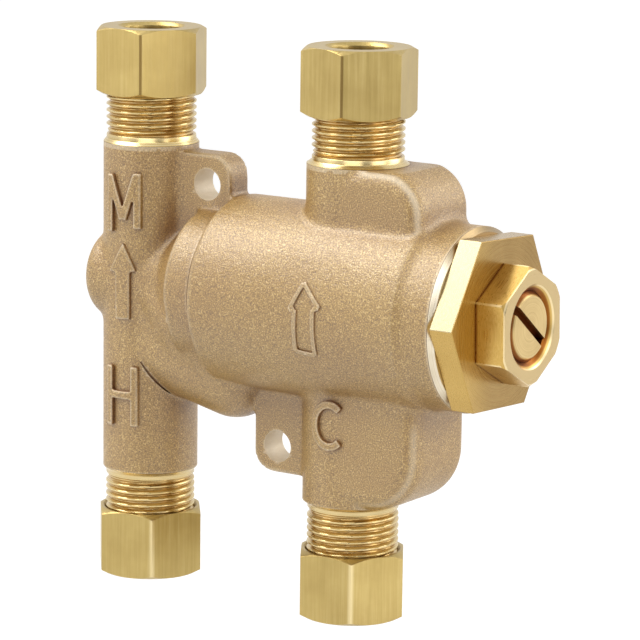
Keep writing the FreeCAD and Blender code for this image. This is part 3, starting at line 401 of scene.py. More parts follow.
def ramp(n, k, factor, stops):
    made = n.new("ShaderNodeValToRGB")
    made.color_ramp.elements[0].position = stops[0][0]
    made.color_ramp.elements[0].color = (*stops[0][1], 1)
    made.color_ramp.elements[1].position = stops[-1][0]
    made.color_ramp.elements[1].color = (*stops[-1][1], 1)
    for position, colour in stops[1:-1]:
        made.color_ramp.elements.new(position).color = (*colour, 1)
    k.new(factor, made.inputs["Fac"])
    return made.outputs["Color"]


def spans(n, k, factor, low, high, to_low, to_high, kind="LINEAR"):
    made = n.new("ShaderNodeMapRange")
    made.interpolation_type = kind
    made.inputs["From Min"].default_value = low
    made.inputs["From Max"].default_value = high
    made.inputs["To Min"].default_value = to_low
    made.inputs["To Max"].default_value = to_high
    k.new(factor, made.inputs["Value"])
    return made.outputs["Result"]


def mixed(n, k, factor, first, second, blend="MIX"):
    made = n.new("ShaderNodeMix")
    made.data_type = "RGBA"
    made.blend_type = blend
    if isinstance(factor, float):
        made.inputs["Factor"].default_value = factor
    else:
        k.new(factor, made.inputs["Factor"])
    for socket, value in ((made.inputs["A"], first), (made.inputs["B"], second)):
        if isinstance(value, tuple):
            socket.default_value = (*value, 1)
        else:
            k.new(value, socket)
    return made.outputs["Result"]


def bump(n, k, height, distance, strength, under=None):
    made = n.new("ShaderNodeBump")
    made.inputs["Distance"].default_value = distance
    made.inputs["Strength"].default_value = strength
    k.new(height, made.inputs["Height"])
    if under is not None:
        k.new(under, made.inputs["Normal"])
    return made.outputs["Normal"]


def joined(n, k, operation, first, second):
    made = n.new("ShaderNodeMath")
    made.operation = operation
    k.new(first, made.inputs[0])
    k.new(second, made.inputs[1])
    return made.outputs["Value"]


def times(n, k, first, second):
    return joined(n, k, "MULTIPLY", first, second)


def greater(n, k, first, second):
    return joined(n, k, "MAXIMUM", first, second)


def vector(n, k, operation, first, second=None):
    made = n.new("ShaderNodeVectorMath")
    made.operation = operation
    k.new(first, made.inputs[0])
    if second is not None:
        made.inputs[1].default_value = second
    return made.outputs["Value" if operation in ("LENGTH", "DOT_PRODUCT") else "Vector"]


def distance_from(n, k, place_of, spot, along=(1, 1, 1)):
    # how far the surface is from a spot of the drawing, in metres, along the axes that are kept
    away = vector(n, k, "SUBTRACT", place_of, TO_FRAME @ Vector(spot))
    return vector(n, k, "LENGTH", vector(n, k, "MULTIPLY", away, along))


def towards(n, k, centre, direction):
    # how far the surface lies from the centre along a direction
    source = n.new("ShaderNodeTexCoord")
    away = vector(n, k, "SUBTRACT", source.outputs["Object"], centre)
    return vector(n, k, "DOT_PRODUCT", away, direction)


# Tones of the casting: sand by its grain, clouds, painted highlights on edges and bulge ridges, painted shade
# in hollows, drilled holes and glints
WHITE = (1.0, 1.0, 1.0)
SAND_TONES = [(0.33, (0.15, 0.068, 0.010)), (0.45, (0.345, 0.188, 0.033)), (0.56, (0.445, 0.258, 0.048)),
              (0.68, (0.80, 0.59, 0.26))]
SAND_CLOUDS = [(0.35, (0.86, 0.80, 0.72)), (0.65, WHITE)]
EDGE_HIGHLIGHT_TONE = (0.84, 0.70, 0.48)
RIDGE_HIGHLIGHT_TONE = (0.90, 0.78, 0.58)
HOLLOW_SHADE_TONE = (0.40, 0.20, 0.08)
DRILLED_TONE = (0.86, 0.74, 0.54)
GLINT_TONE = (1.0, 0.93, 0.81, 1)
# Plain skin without edges, each place with its reach: it gets no painted edge highlight
PLAIN_SKIN = [((50.7, -10.4, -10.8), 7.0), ((54.0, 9.0, 12.0), 5.5), ((50.4, 6.5, 21.5), 2.5)]

# Tones of the machined pieces, dark, middle and light, and of the darker bands and patches on them, some of
# them painted shade and painted highlights
NUT_TONES = ((0.455, 0.335, 0.120), (0.505, 0.375, 0.140), (0.555, 0.425, 0.175))
BONNET_TONES = ((0.42, 0.28, 0.095), (0.47, 0.315, 0.115), (0.53, 0.37, 0.145))
LOCK_TONES = ((0.58, 0.365, 0.10), (0.65, 0.425, 0.125), (0.73, 0.51, 0.175))
STEM_TONES = ((0.56, 0.40, 0.17), (0.63, 0.46, 0.205), (0.71, 0.54, 0.26))
THREAD_TONES = ((0.56, 0.42, 0.19), (0.70, 0.54, 0.26), (0.83, 0.69, 0.41))
MOUTH_HIGHLIGHT_TONES = ((0.68, 0.59, 0.43), (0.77, 0.68, 0.52), (0.86, 0.78, 0.63))
NUT_CLOUDS = [(0.3, (0.86, 0.84, 0.80)), (0.7, WHITE)]
LATHE_CLOUDS = [(0.3, (0.85, 0.83, 0.79)), (0.7, WHITE)]
PAINTED_SHADE_BROWN = (0.42, 0.22, 0.13)
FACE_BROWN = (0.76, 0.71, 0.65)
THREAD_BROWN = (0.70, 0.56, 0.40)
LOCK_EDGE_HIGHLIGHT = (0.92, 0.78, 0.48)
LOCK_FACE_TONE = (0.52, 0.38, 0.18)
BONNET_LIT_SIDE_TONE = (0.62, 0.41, 0.12)
BONNET_TOP_FLAT_SHEEN_TONE = (0.355, 0.295, 0.175)
MOUTH_TOP_TONE = (0.30, 0.20, 0.085)
# The corner of a nut that faces the front gets a painted line, a dark reflection on the outlet nuts and a
# highlight on the inlet nuts: how far in its line starts and is full, its tone and share
DARK_REFLECTION_CORNER = (0.00017, 0.00009, (0.15, 0.09, 0.025), 0.8)
HIGHLIGHT_CORNER = (0.00032, 0.00010, (0.82, 0.68, 0.38), 0.65)


# Materials

def bulge_ridge_highlight(n, k, place_of, normal_of):
    # the front edges of the cold bulges, where the skin turns from the front to the side, get a painted
    # highlight
    spot = n.new("ShaderNodeSeparateXYZ")
    k.new(place_of, spot.inputs["Vector"])
    facing = n.new("ShaderNodeSeparateXYZ")
    k.new(normal_of, facing.inputs["Vector"])
    past_front = spans(n, k, facing.outputs["Y"], -0.90, -0.76, 0.0, 1.0)
    before_side = spans(n, k, facing.outputs["Y"], -0.66, -0.50, 1.0, 0.0)
    right_of_column = spans(n, k, spot.outputs["X"], 0.0280, 0.0320, 0.0, 1.0)
    above = spans(n, k, spot.outputs["Z"], -0.0040, -0.0020, 0.0, 0.45)
    below = spans(n, k, spot.outputs["Z"], -0.0315, -0.0335, 0.0, 0.25)
    on_bulge = times(n, k, right_of_column, greater(n, k, above, below))
    return times(n, k, times(n, k, past_front, before_side), on_bulge)


def cast_bronze(name, edge_highlight_share, edge_from, edge_full):
    # sand-cast skin: speckled grain, painted shade in the hollows and a painted highlight on its edges
    made, n, k, shader = new_material(name)
    whole = spread(n, k, (1, 1, 1))
    sand = noise(n, k, whole, 4800, 2, 0.6)
    pits = noise(n, k, whole, 1100, 2, 0.5)
    cloud = noise(n, k, whole, 60, 3, 0.55)
    colour = mixed(n, k, 1.0, ramp(n, k, sand, SAND_TONES), ramp(n, k, cloud, SAND_CLOUDS), "MULTIPLY")
    form = n.new("ShaderNodeNewGeometry")
    # painted highlight: convex edges, found by their pointiness, are lightened where the skin is open
    edge_highlight = spans(n, k, form.outputs["Pointiness"], edge_from, edge_full, 0.0, edge_highlight_share)
    room = n.new("ShaderNodeAmbientOcclusion")
    room.samples = 6
    room.inputs["Distance"].default_value = 0.0065
    exposed = spans(n, k, room.outputs["AO"], 0.72, 0.90, 0.0, 1.0)
    for spot, reach in PLAIN_SKIN:
        past = spans(n, k, distance_from(n, k, whole, spot), 0.8 * reach * MM, reach * MM, 0.0, 1.0)
        edge_highlight = times(n, k, edge_highlight, past)
    colour = mixed(n, k, times(n, k, edge_highlight, exposed), colour, EDGE_HIGHLIGHT_TONE)
    # painted highlight along the front edges of the cold bulges
    colour = mixed(n, k, bulge_ridge_highlight(n, k, whole, form.outputs["Normal"]), colour, RIDGE_HIGHLIGHT_TONE)
    # painted shade: the skin darkens towards a red-brown where the ambient occlusion finds it hidden, in
    # hollows and corners
    open_sky = spans(n, k, room.outputs["AO"], 0.34, 0.96, 0.0, 1.0)
    colour = mixed(n, k, 1.0, colour, mixed(n, k, open_sky, HOLLOW_SHADE_TONE, WHITE), "MULTIPLY")
    for x, z in (UPPER_HOLE, LOWER_HOLE):
        # the drilled walls of the lug holes are clean
        reach = distance_from(n, k, whole, (x, 0, z), (1, 0, 1))
        drilled = spans(n, k, reach, LUG_HOLE_R * MM + 0.00004, LUG_HOLE_R * MM, 0.0, 0.85)
        colour = mixed(n, k, drilled, colour, DRILLED_TONE)
    k.new(colour, shader.inputs["Base Color"])
    k.new(spans(n, k, sand, 0.3, 0.7, 0.46, 0.28), shader.inputs["Roughness"])
    shader.inputs["Metallic"].default_value = 0.05
    shader.inputs["IOR"].default_value = 1.74
    shader.inputs["Specular Tint"].default_value = GLINT_TONE
    shader.inputs["Specular IOR Level"].default_value = 1.0
    rough = bump(n, k, pits, 0.00022, 0.4)
    k.new(bump(n, k, sand, 0.00012, 0.8, rough), shader.inputs["Normal"])
    return made


def nut_brass(name, centre, direction, corner_r, corner):
    # bright brass with fine tool marks drawn out along the nut; the corner that faces the front has a painted
    # line of its own tone, a dark reflection on the outlet nuts and a highlight on the inlet nuts
    made, n, k, shader = new_material(name)
    streak = noise(n, k, spread(n, k, (1, 1, 0.035)), 2100, 4, 0.65)
    cloud = noise(n, k, spread(n, k, (1, 1, 1)), 160, 3, 0.55)
    base = ramp(n, k, streak, list(zip((0.28, 0.5, 0.74), NUT_TONES)))
    colour = mixed(n, k, 1.0, base, ramp(n, k, cloud, NUT_CLOUDS), "MULTIPLY")
    starts, full, tone, share = corner
    # painted line along the front corner, dark as a reflection on the outlet nuts and bright as a highlight
    # on the inlet nuts
    line = spans(n, k, towards(n, k, centre, direction), corner_r - starts, corner_r - full, 0.0, share)
    k.new(mixed(n, k, line, colour, tone), shader.inputs["Base Color"])
    k.new(spans(n, k, streak, 0.3, 0.7, 0.30, 0.42), shader.inputs["Roughness"])
    shader.inputs["Metallic"].default_value = 1.0
    k.new(bump(n, k, streak, 0.00003, 0.3), shader.inputs["Normal"])
    return made


def turned_brass(name, axis, centre, tones, rough, dark_tone=WHITE, darkenings=(), patches=()):
    # bright brass with rings left by the lathe: fine along the axis, and across a face by the radius; each
    # darkening is a coordinate, where it is brown and where it has gone, and on the lock nut and the stem
    # these are painted shade; each patch is a coordinate or a direction, where it starts and is full, its
    # tone and share, and some patches are painted highlights
    made, n, k, shader = new_material(name)
    source = n.new("ShaderNodeTexCoord")
    split = n.new("ShaderNodeSeparateXYZ")
    k.new(vector(n, k, "SUBTRACT", source.outputs["Object"], centre), split.inputs["Vector"])
    across = [a for a in "XYZ" if a != axis]
    flat = n.new("ShaderNodeCombineXYZ")
    k.new(split.outputs[across[0]], flat.inputs["X"])
    k.new(split.outputs[across[1]], flat.inputs["Y"])
    coordinates = {"radius": vector(n, k, "LENGTH", flat.outputs["Vector"]), "along": split.outputs[axis]}
    rings = n.new("ShaderNodeCombineXYZ")
    k.new(coordinates["along"], rings.inputs["X"])
    k.new(coordinates["radius"], rings.inputs["Y"])
    groove = noise(n, k, rings.outputs["Vector"], 5200, 3, 0.6)
    cloud = noise(n, k, source.outputs["Object"], 190, 3, 0.55)
    base = ramp(n, k, groove, list(zip((0.3, 0.5, 0.72), tones)))
    colour = mixed(n, k, 1.0, base, ramp(n, k, cloud, LATHE_CLOUDS), "MULTIPLY")
    for kind, brown_at, gone_at in darkenings:
        undarkened = spans(n, k, coordinates[kind], brown_at, gone_at, 0.0, 1.0)
        colour = mixed(n, k, 1.0, colour, mixed(n, k, undarkened, dark_tone, WHITE), "MULTIPLY")
    for kind, starts, full, tone, share in patches:
        measure = coordinates[kind] if isinstance(kind, str) else towards(n, k, centre, kind)
        shown = spans(n, k, measure, starts, full, 0.0, share)
        colour = mixed(n, k, shown, colour, tone)
    k.new(colour, shader.inputs["Base Color"])
    k.new(spans(n, k, groove, 0.3, 0.7, *rough), shader.inputs["Roughness"])
    shader.inputs["Metallic"].default_value = 1.0
    k.new(bump(n, k, groove, 0.00002, 0.25), shader.inputs["Normal"])
    return made


def plain_kind(name, scale, dark, light, metallic, rough, depth):
    # inner pieces: one grain for colour, gloss and height
    made, n, k, shader = new_material(name)
    grain = noise(n, k, spread(n, k, (1, 1, 1)), scale, 4, 0.6)
    k.new(ramp(n, k, grain, [(0.3, dark), (0.7, light)]), shader.inputs["Base Color"])
    k.new(spans(n, k, grain, 0.3, 0.7, *rough), shader.inputs["Roughness"])
    shader.inputs["Metallic"].default_value = metallic
    k.new(bump(n, k, grain, depth, 0.5), shader.inputs["Normal"])
    return made


def column_line(x):
    # a point on the axis of a column, in the frame
    return ((CROSSING.x + x) * MM, 0, 0)


def front_corner(node, x):
    # the corner of a nut that points most to the camera: its direction and radius
    towards_camera = Vector((0.556, -0.831, 0))
    spots = [Vector((vert.co.x - x, vert.co.y, 0)) for vert in nodes[node].data.vertices]
    best = max(spots, key=lambda spot: spot.dot(towards_camera))
    return best.normalized(), best.length


def best_flat(node, wanted):
    # the outward direction of the hexagon's flats that is nearest to a wanted one
    hexagon_reach = 0.0127
    flats = []
    for face in nodes[node].data.polygons:
        reach = (face.center - Vector(BARREL_LINE)).dot(face.normal)
        if abs(face.normal.x) < 0.001 and reach > hexagon_reach:
            flats.append(face.normal.copy())
    return max(flats, key=lambda normal: normal.dot(wanted))


def far_end(node):
    # the right-hand end of a node, from the hot column's axis
    return max(vert.co.x for vert in nodes[node].data.vertices) - BARREL_LINE[0]


# painted highlights on edges: a share of 0.42 on the casting and a stronger 0.65 on the raised marks
bronze = cast_bronze("cast_bronze", 0.42, 0.511, 0.545)
mark_bronze = cast_bronze("mark_bronze", 0.65, 0.505, 0.545)
nut_metal = {}
for port, tube in ENDS.items():
    centre = column_line(tube.x)
    direction, corner_r = front_corner(port + "_nut", centre[0])
    corner = DARK_REFLECTION_CORNER if tube.out > 0 else HIGHLIGHT_CORNER
    nut_metal[port] = nut_brass(port + "_nut_brass", centre, direction, corner_r, corner)
bonnet_face = COLLAR_END * MM + 0.0047
top_left_flat = best_flat("bonnet", Vector((0, -0.8, 0.6)))
# painted light: the bonnet's front side takes a lighter orange tone, and its top-left flat a greyer tone of
# its own that sets how its lamp highlight renders; its front face is darker
bonnet_brass = turned_brass("bonnet_brass", "X", BARREL_LINE, BONNET_TONES, (0.22, 0.34), FACE_BROWN,
                            [("along", bonnet_face - 0.00004, bonnet_face - 0.0002)],
                            [((0, -1, 0), 0.003, 0.010, BONNET_LIT_SIDE_TONE, 0.55),
                             (tuple(top_left_flat), 0.01281, 0.01286, BONNET_TOP_FLAT_SHEEN_TONE, 1.0)])
lock_face = far_end("lock_nut")
# painted shade in the bore's thread recess and along the back, where the nut meets the bonnet; painted
# highlights on the hexagon's corners and along the front edge of its flats
lock_brass = turned_brass("lock_brass", "X", BARREL_LINE, LOCK_TONES, (0.26, 0.36), PAINTED_SHADE_BROWN,
                          [("radius", 0.0059, 0.00605), ("along", lock_face - 0.005, lock_face - 0.0046)],
                          [("radius", 0.00910, 0.00918, LOCK_EDGE_HIGHLIGHT, 0.6),
                           ("along", lock_face - 0.00032, lock_face - 0.00024, LOCK_EDGE_HIGHLIGHT, 0.7),
                           ("along", lock_face - 0.00006, lock_face - 0.00002, LOCK_FACE_TONE, 0.9)])
# painted shade on the stem's side and the rim of its end, where it sits in the nut, and in its slot
slot_floor = STEM_END * MM - 0.0009
stem_brass = turned_brass("stem_brass", "X", BARREL_LINE, STEM_TONES, (0.26, 0.38), PAINTED_SHADE_BROWN,
                          [("radius", 0.0050, 0.0048), ("along", slot_floor, slot_floor + 0.0007)])
# pale machined bronze, painted up into a highlight on the front of the mouth; away from the front it takes a
# darker tan
mouth_highlit_bronze = turned_brass("mouth_highlit_bronze", "X", BARREL_LINE, MOUTH_HIGHLIGHT_TONES, (0.24, 0.36),
                            patches=[((0, 1, 0), -0.0105, -0.007, MOUTH_TOP_TONE, 0.9)])
thread_metal = {}
for x, name in ((0, "thread_brass"), (COLD_X, "cold_thread_brass")):
    thread_metal[x] = turned_brass(name, "Z", column_line(x), THREAD_TONES, (0.20, 0.32), THREAD_BROWN,
                                   [("radius", 0.0064, 0.0070)])
METAL = 1.0
NO_METAL = 0.0
inner_brass = plain_kind("inner_brass", 900, (0.50, 0.33, 0.10), (0.68, 0.48, 0.18), METAL, (0.25, 0.4),
                         0.00003)
copper = plain_kind("copper", 800, (0.50, 0.22, 0.11), (0.72, 0.36, 0.20), METAL, (0.25, 0.4), 0.00003)
steel = plain_kind("steel", 1500, (0.42, 0.42, 0.43), (0.62, 0.62, 0.63), METAL, (0.2, 0.35), 0.00002)
rubber = plain_kind("rubber", 1200, (0.012, 0.012, 0.013), (0.03, 0.03, 0.031), NO_METAL, (0.5, 0.7), 0.00004)
plastic = plain_kind("plastic", 700, (0.70, 0.68, 0.62), (0.84, 0.82, 0.77), NO_METAL, (0.4, 0.55), 0.00003)

# Casting: the node's own skin, closed at its mouths, softened as sand leaves it, and machined again

CASTING_VOXEL = 0.40
casting = bpy.data.objects.new("casting", nodes["valve_body"].data.copy())
scene.collection.objects.link(casting)
casting.data.transform(TO_DRAWING)
# Plugs close the barrel, the lug holes and the tube ends, so that the skin has an inside to drop
plugs = [rod("plug", "X", (0, 0, 0), 54.0, 62.5, COLLAR_R, ROUND)]
plugs += lug_rods("plug", 2.45, LUG_HOLE_R + 0.4)
for tube in ENDS.values():
    low, high = sorted((tube.end - tube.out * 4, tube.end + tube.out * (tube.long + 0.5)))
    plugs.append(rod("plug", "Z", (tube.x, 0, 0), low, high, tube.radius, ROUND))
work = bmesh.new()
work.from_mesh(casting.data)
bmesh.ops.remove_doubles(work, verts=work.verts, dist=0.0005)
for plug in plugs:
    work.from_mesh(plug.data)
work.to_mesh(casting.data)
work.free()
discard(plugs)
remesh(casting, CASTING_VOXEL)
keep_outer_shell(casting)

# The lobe meets the hot column in a sharp line, which sand and shadow leave dark
CREASE_FROM = 3.3
CREASE_LONG = 7.6
CREASE_STEPS = 32
crease = []
for i in range(CREASE_STEPS + 1):
    turn = (CREASE_FROM + CREASE_LONG * i / CREASE_STEPS) / HOT_R
    x = HOT_R * math.sin(turn)
    y = -HOT_R * math.cos(turn)
    fall = LOBE_R / math.cos(LOBE_SLOPE) * math.sqrt(1 - (y / LOBE_R) ** 2)
    crease.append(Vector((x, y, -LOBE_DROP - x * math.tan(LOBE_SLOPE) - fall)))


def round_barrel(x, radius, degrees):
    # a point at an angle up from the front of the barrel
    turn = math.radians(degrees)
    return Vector((x, -radius * math.cos(turn), radius * math.sin(turn)))


# The ring left of the barrel keeps its corners, the left one only above the lobe
corners = []
for degrees in range(-30, 160, 3):
    corners.append(round_barrel(*RING_RIGHT, degrees))
    if degrees > 5:
        corners.append(round_barrel(*RING_LEFT, degrees))
soften(casting, 2, 16, [(crease, 0.9, 2.1), (corners, 2.6, 4.0)])
# Places where the skin is still uneven: where, how far and how many rounds
UNEVEN = [((8.8, -8.2, -2.5), 5.5, 40), ((1.9, -7.4, 0), 3.5, 20), ((14.8, -7.6, -11.4), 4.0, 30),
          ((19.1, -5.7, -18.5), 3.5, 30), ((49.3, -10.4, -10.8), 7.0, 40)]
for spot, reach, rounds in UNEVEN:
    soften(casting, rounds, near=(spot, reach))
hollow_under_arrow(casting)


def inlet_bore(check_end, top):
    # the check valve's bore from below the casting, and the narrower passage above it
    low = -40
    return [(low, 0), (low, CHECK_R), (check_end, CHECK_R), (check_end, PASSAGE_R), (top, PASSAGE_R),
            (top, 0)]


# The bores of the barrel from left to right, as (along, radius)
BARREL_BORE = [(-6.5, 0), (-6.5, WAY_R), (-5.5, CHECK_R), (9.5, CHECK_R), (9.5, 7.6), (10.1, TAIL_R),
               (18.6, TAIL_R), (18.6, CHAMBER_R), (25, CHAMBER_R), (25, LAND_R), (37.8, LAND_R),
               (37.8, CHAMBER_R), (51, CHAMBER_R), (51, LAND_R), (54.5, LAND_R), (54.5, PLUG_BORE_R),
               (63, PLUG_BORE_R), (63, 0)]
# Cutters that clear what lies beyond a machined end reach this far past it
PAST_END = 18
cutters = [rod("cut", "X", (0, 0, 0), COLLAR_END, 66, 17, ROUND)]
cutters += lug_rods("cut", 9, LUG_HOLE_R)
cutters += [
    lathe("cut", BARREL_BORE, "X", (0, 0, 0), ROUND),
    rod("cut", "Z", (0, 0, 0), 0, 30, PASSAGE_R),
    rod("cut", "Z", (COLD_X, 0, 0), 12.7, 30, PASSAGE_R),
    lathe("cut", inlet_bore(-21.2, -9.8), "Z", (0, 0, 0), 48),
    lathe("cut", inlet_bore(-22.3, -16), "Z", (COLD_X, 0, 0), 48),
    rod("cut", "X", (0, 0, HOT_WAY_Z), 0, 21, WAY_R),
    rod("cut", "X", (0, 0, UPPER_WAY_Z), COLD_X, WAY_END, WAY_R),
    rod("cut", "X", (0, 0, LOWER_WAY_Z), COLD_X, WAY_END, WAY_R),
    rod("cut", "Z", (COLD_WAY_X, 0, 0), LAND_R, UPPER_WAY_Z, WAY_R),
    rod("cut", "Z", (COLD_WAY_X, 0, 0), LOWER_WAY_Z, -LAND_R, WAY_R),
]
for tube in ENDS.values():
    low, high = sorted((tube.end - tube.out * SHOULDER, tube.end + tube.out * PAST_END))
    cutters.append(rod("cut", "Z", (tube.x, 0, 0), low, high, tube.radius + 0.15, ROUND))
# nothing stands above the cold bulges beside the ends
bulge_top = COLUMN_TOP - SHOULDER + 0.02
bulge_low = COLUMN_LOW + SHOULDER - 0.02
cutters.append(rod("cut", "Z", (COLD_X + 3, 0, 0), bulge_top, COLUMN_TOP + PAST_END, 12, ROUND))
cutters.append(rod("cut", "Z", (COLD_X + 3, 0, 0), COLUMN_LOW - PAST_END, bulge_low, 12, ROUND))
line_radii = [0.11 + 0.22 * math.sin(math.pi * min(1.0, 0.12 + i / 40)) for i in range(len(crease))]
cutters.append(swept("cut", crease, line_radii, Vector((0, 0, 1))))
# a hollow line where the ring meets the barrel, from the lobe up to the upper lug, thin at both ends
LINE_STEPS = 39
line = [round_barrel(*RING_LINE, -36 + 3 * i) for i in range(LINE_STEPS + 1)]
line_radii = []
for i in range(LINE_STEPS + 1):
    to_an_end = min(i, 2.5 * (LINE_STEPS - i))
    line_radii.append(0.75 * math.sin(math.pi * min(0.5, 0.03 + to_an_end / 20)))
cutters.append(swept("cut", line, line_radii, Vector((1, 0, 0))))
boolean(casting, cutters, "DIFFERENCE")
shade(casting, 35)


# Threaded ends: shoulder, neck, a right-hand thread, and the socket with its cone

def part_of(low, high, value):
    # how much of the way from low to high is done, from 0 to 1
    return min(1.0, max(0.0, (value - low) / (high - low)))


def thread_wave(long, hand):
    # the radius of the thread, which rises out of the neck and runs out at the end
    def reach(along, radius, turn):
        if radius != THREAD_CREST:
            return radius
        phase = (along / PITCH - hand * turn / (2 * math.pi)) % 1.0
        tooth = part_of(0.16, 0.78, 1 - abs(2 * phase - 1))
        rise = part_of(0.7, 1.6, along)
        runout = part_of(long - 0.05, long - 0.65, along)
        return THREAD_ROOT + (THREAD_CREST - THREAD_ROOT) * tooth * rise * runout
    return reach


def threaded_end(name, tube):
    # the outline runs out of the port, as (along, radius): foot, shoulder, neck, thread, face, cone, socket
    # and passage
    foot = -1.6
    foot_r = tube.radius - 0.9
    profile = [(foot, foot_r), (-SHOULDER, foot_r), (-SHOULDER, tube.radius - 0.06),
               (-SHOULDER + 0.05, tube.radius), (-0.06, NECK_R + 0.1), (0.06, NECK_R), (0.58, NECK_R),
               (0.7, NECK_R - 0.1), (0.76, THREAD_ROOT)]
    first = 0.8
    threaded = tube.long - 0.65 - first
    steps_in_a_turn = 13
    steps = int(threaded / PITCH * steps_in_a_turn)
    for i in range(steps + 1):
        profile.append((first + threaded * i / steps, THREAD_CREST))
    cone = 1.05
    mouth = SOCKET_R + cone
    face = tube.long
    stop = face - tube.socket
    profile += [(face - 0.5, 6.45), (face - 0.06, 6.15), (face, 6.08), (face, mouth + 0.05),
                (face - 0.05, mouth), (face - cone, SOCKET_R), (stop, SOCKET_R), (stop, tube.passage),
                (foot, tube.passage)]
    wave = thread_wave(tube.long, tube.out)
    outward = [(tube.out * along, radius) for along, radius in profile]
    return lathe(name, outward, "Z", (tube.x, 0, tube.end), ROUND,
                 lambda along, radius, turn: wave(tube.out * along, radius, turn))


# Machined mouth of the barrel
RING_FOOT = 58.7
RING_FOOT_R = 13.0
mouth_ring = lathe("mouth_ring", [
    (RING_FOOT, RING_FOOT_R), (COLLAR_END, RING_FOOT_R), (COLLAR_END, COLLAR_R - 0.08),
    (COLLAR_END + 0.08, COLLAR_R), (MOUTH_X - 0.08, MOUTH_R + 0.05), (MOUTH_X, MOUTH_R - 0.03),
    (MOUTH_X, PLUG_BORE_R), (RING_FOOT, PLUG_BORE_R),
], "X", (0, 0, 0), 144)
shade(mouth_ring, 30)

# Raised marks: strokes drawn flat as (across, up), thickened, softened and laid on the casting

MARK_DEPTH = 0.8
MARK_VOXEL = 0.14
COLUMN_BEND = 7.7
skin = BVHTree.FromPolygons([v.co.copy() for v in casting.data.vertices],
                            [tuple(p.vertices) for p in casting.data.polygons])


def stroke(start, finish, width):
    # the corners of a straight stroke
    a = Vector(start)
    b = Vector(finish)
    along = (b - a).normalized()
    side = Vector((-along.y, along.x)) * width / 2
    return [a - side, b - side, b + side, a + side]


def plate(points, faces, corners):
    # adds a flat shape of that outline, as thick behind the drawing's plane as before it
    first = len(points)
    count = len(corners)
    for height in (-MARK_DEPTH, MARK_DEPTH):
        points += [(x, height, z) for x, z in corners]
    faces.append(tuple(range(first, first + count)))
    faces.append(tuple(reversed(range(first + count, first + 2 * count))))
    for i in range(count):
        j = (i + 1) % count
        faces.append((first + i, first + i + count, first + j + count, first + j))


def lay_on_casting(item, x0, bend, rise):
    # each point goes onto the casting's front at its place, raised by its own height
    well_in_front = -40
    for vert in item.data.vertices:
        across, height, up = vert.co
        if bend == "column":
            x = x0 + COLUMN_BEND * math.sin(across / COLUMN_BEND)
            z = up
        else:
            x = x0 + across
            z = BARREL_R * math.sin(up / BARREL_R)
        spot = skin.ray_cast(Vector((x, well_in_front, z)), Vector((0, 1, 0)))[0]
        vert.co = (x, spot.y + height + rise, z)
    item.data.update()


def mark(name, plates, x0, bend, height):
    # a raised mark of that height, made of flat shapes and bent round a column or up the barrel
    points = []
    faces = []
    for corners in plates:
        plate(points, faces, corners)
    item = new_object(name, points, faces)
    remesh(item, MARK_VOXEL)
    soften(item, 4)
    lay_on_casting(item, x0, bend, MARK_DEPTH - height)
    shade(item, 60)
    return item


def strokes(width, lines):
    # a shape for each line
    return [stroke(start, finish, width) for start, finish in lines]


def arc(centre, half_wide, half_high, start, finish, count):
    # a chain of short lines round an ellipse
    spots = []
    for i in range(count + 1):
        turn = math.radians(start + (finish - start) * i / count)
        spots.append((centre[0] + half_wide * math.cos(turn), centre[1] + half_high * math.sin(turn)))
    return list(zip(spots, spots[1:]))


def closed(corners):
    # the lines of an outline
    return list(zip(corners, corners[1:] + corners[:1]))


LETTER_WIDTH = 1.25
LETTER_HEIGHT = 0.7
LETTER_M = [((-2.35, 8.0), (-2.3, 17.2)), ((2.9, 8.8), (2.85, 17.6)), ((-2.25, 16.9), (0.35, 10.2)),
            ((0.35, 10.2), (2.75, 17.2))]
LETTER_H = [((-2.35, -23.2), (-2.35, -13.5)), ((2.45, -23.0), (2.45, -13.4)), ((-2.35, -18.1), (2.45, -18.1))]
LETTER_C = arc((0.75, -17.7), 2.75, 3.3, 48, 312, 22)
FLOW_UP = [(0.33, 6.4), (-2.6, 1.6), (-1.2, 1.6), (-1.1, -5.9), (1.6, -5.8), (1.6, 1.9), (2.7, 2.0)]
ARROW = [(38.95, 5.3), (36.9, 1.0), (37.85, 1.05), (37.5, -5.6), (41.0, -5.9), (41.1, 1.5), (42.2, 1.75)]
marks = [
    mark("mark_m", strokes(LETTER_WIDTH, LETTER_M), 0, "column", LETTER_HEIGHT),
    mark("mark_flow_up", [FLOW_UP], 0, "column", 0.5),
    mark("mark_h", strokes(LETTER_WIDTH, LETTER_H), 0, "column", LETTER_HEIGHT),
    mark("mark_c", strokes(LETTER_WIDTH, LETTER_C), COLD_X, "column", 0.65),
    mark("mark_arrow", strokes(0.75, closed(ARROW)), 0, "barrel", ARROW_HEIGHT),
]

# Everything that stands for the cast node

place(casting, "valve", "cast_bronze", bronze, "valve_body")
for name, tube in ENDS.items():
    end = threaded_end(name + "_thread", tube)
    shade(end, 40)
    place(end, "valve", "cast_bronze", thread_metal[tube.x], "valve_body")
place(mouth_ring, "valve", "cast_bronze", mouth_highlit_bronze, "valve_body")
for item in marks:
    place(item, "valve", "cast_bronze", mark_bronze, "valve_body")


# Nodes that keep their own shape

def dress(node, material, bevel=0.0):
    # gives a node its material; with a bevel, its flats are joined first, so that only real edges are rounded
    item = nodes[node]
    item.data.materials.clear()
    item.data.materials.append(material)
    if bevel:
        weld = item.modifiers.new("weld", "WELD")
        weld.merge_threshold = SAME_POINT
        flat = item.modifiers.new("flat", "DECIMATE")
        flat.decimate_type = "DISSOLVE"
        flat.angle_limit = math.radians(0.5)
        edge = item.modifiers.new("edge", "BEVEL")
        edge.width = bevel
        edge.segments = 2
        edge.limit_method = "ANGLE"
        edge.angle_limit = math.radians(25)
        edge.harden_normals = True


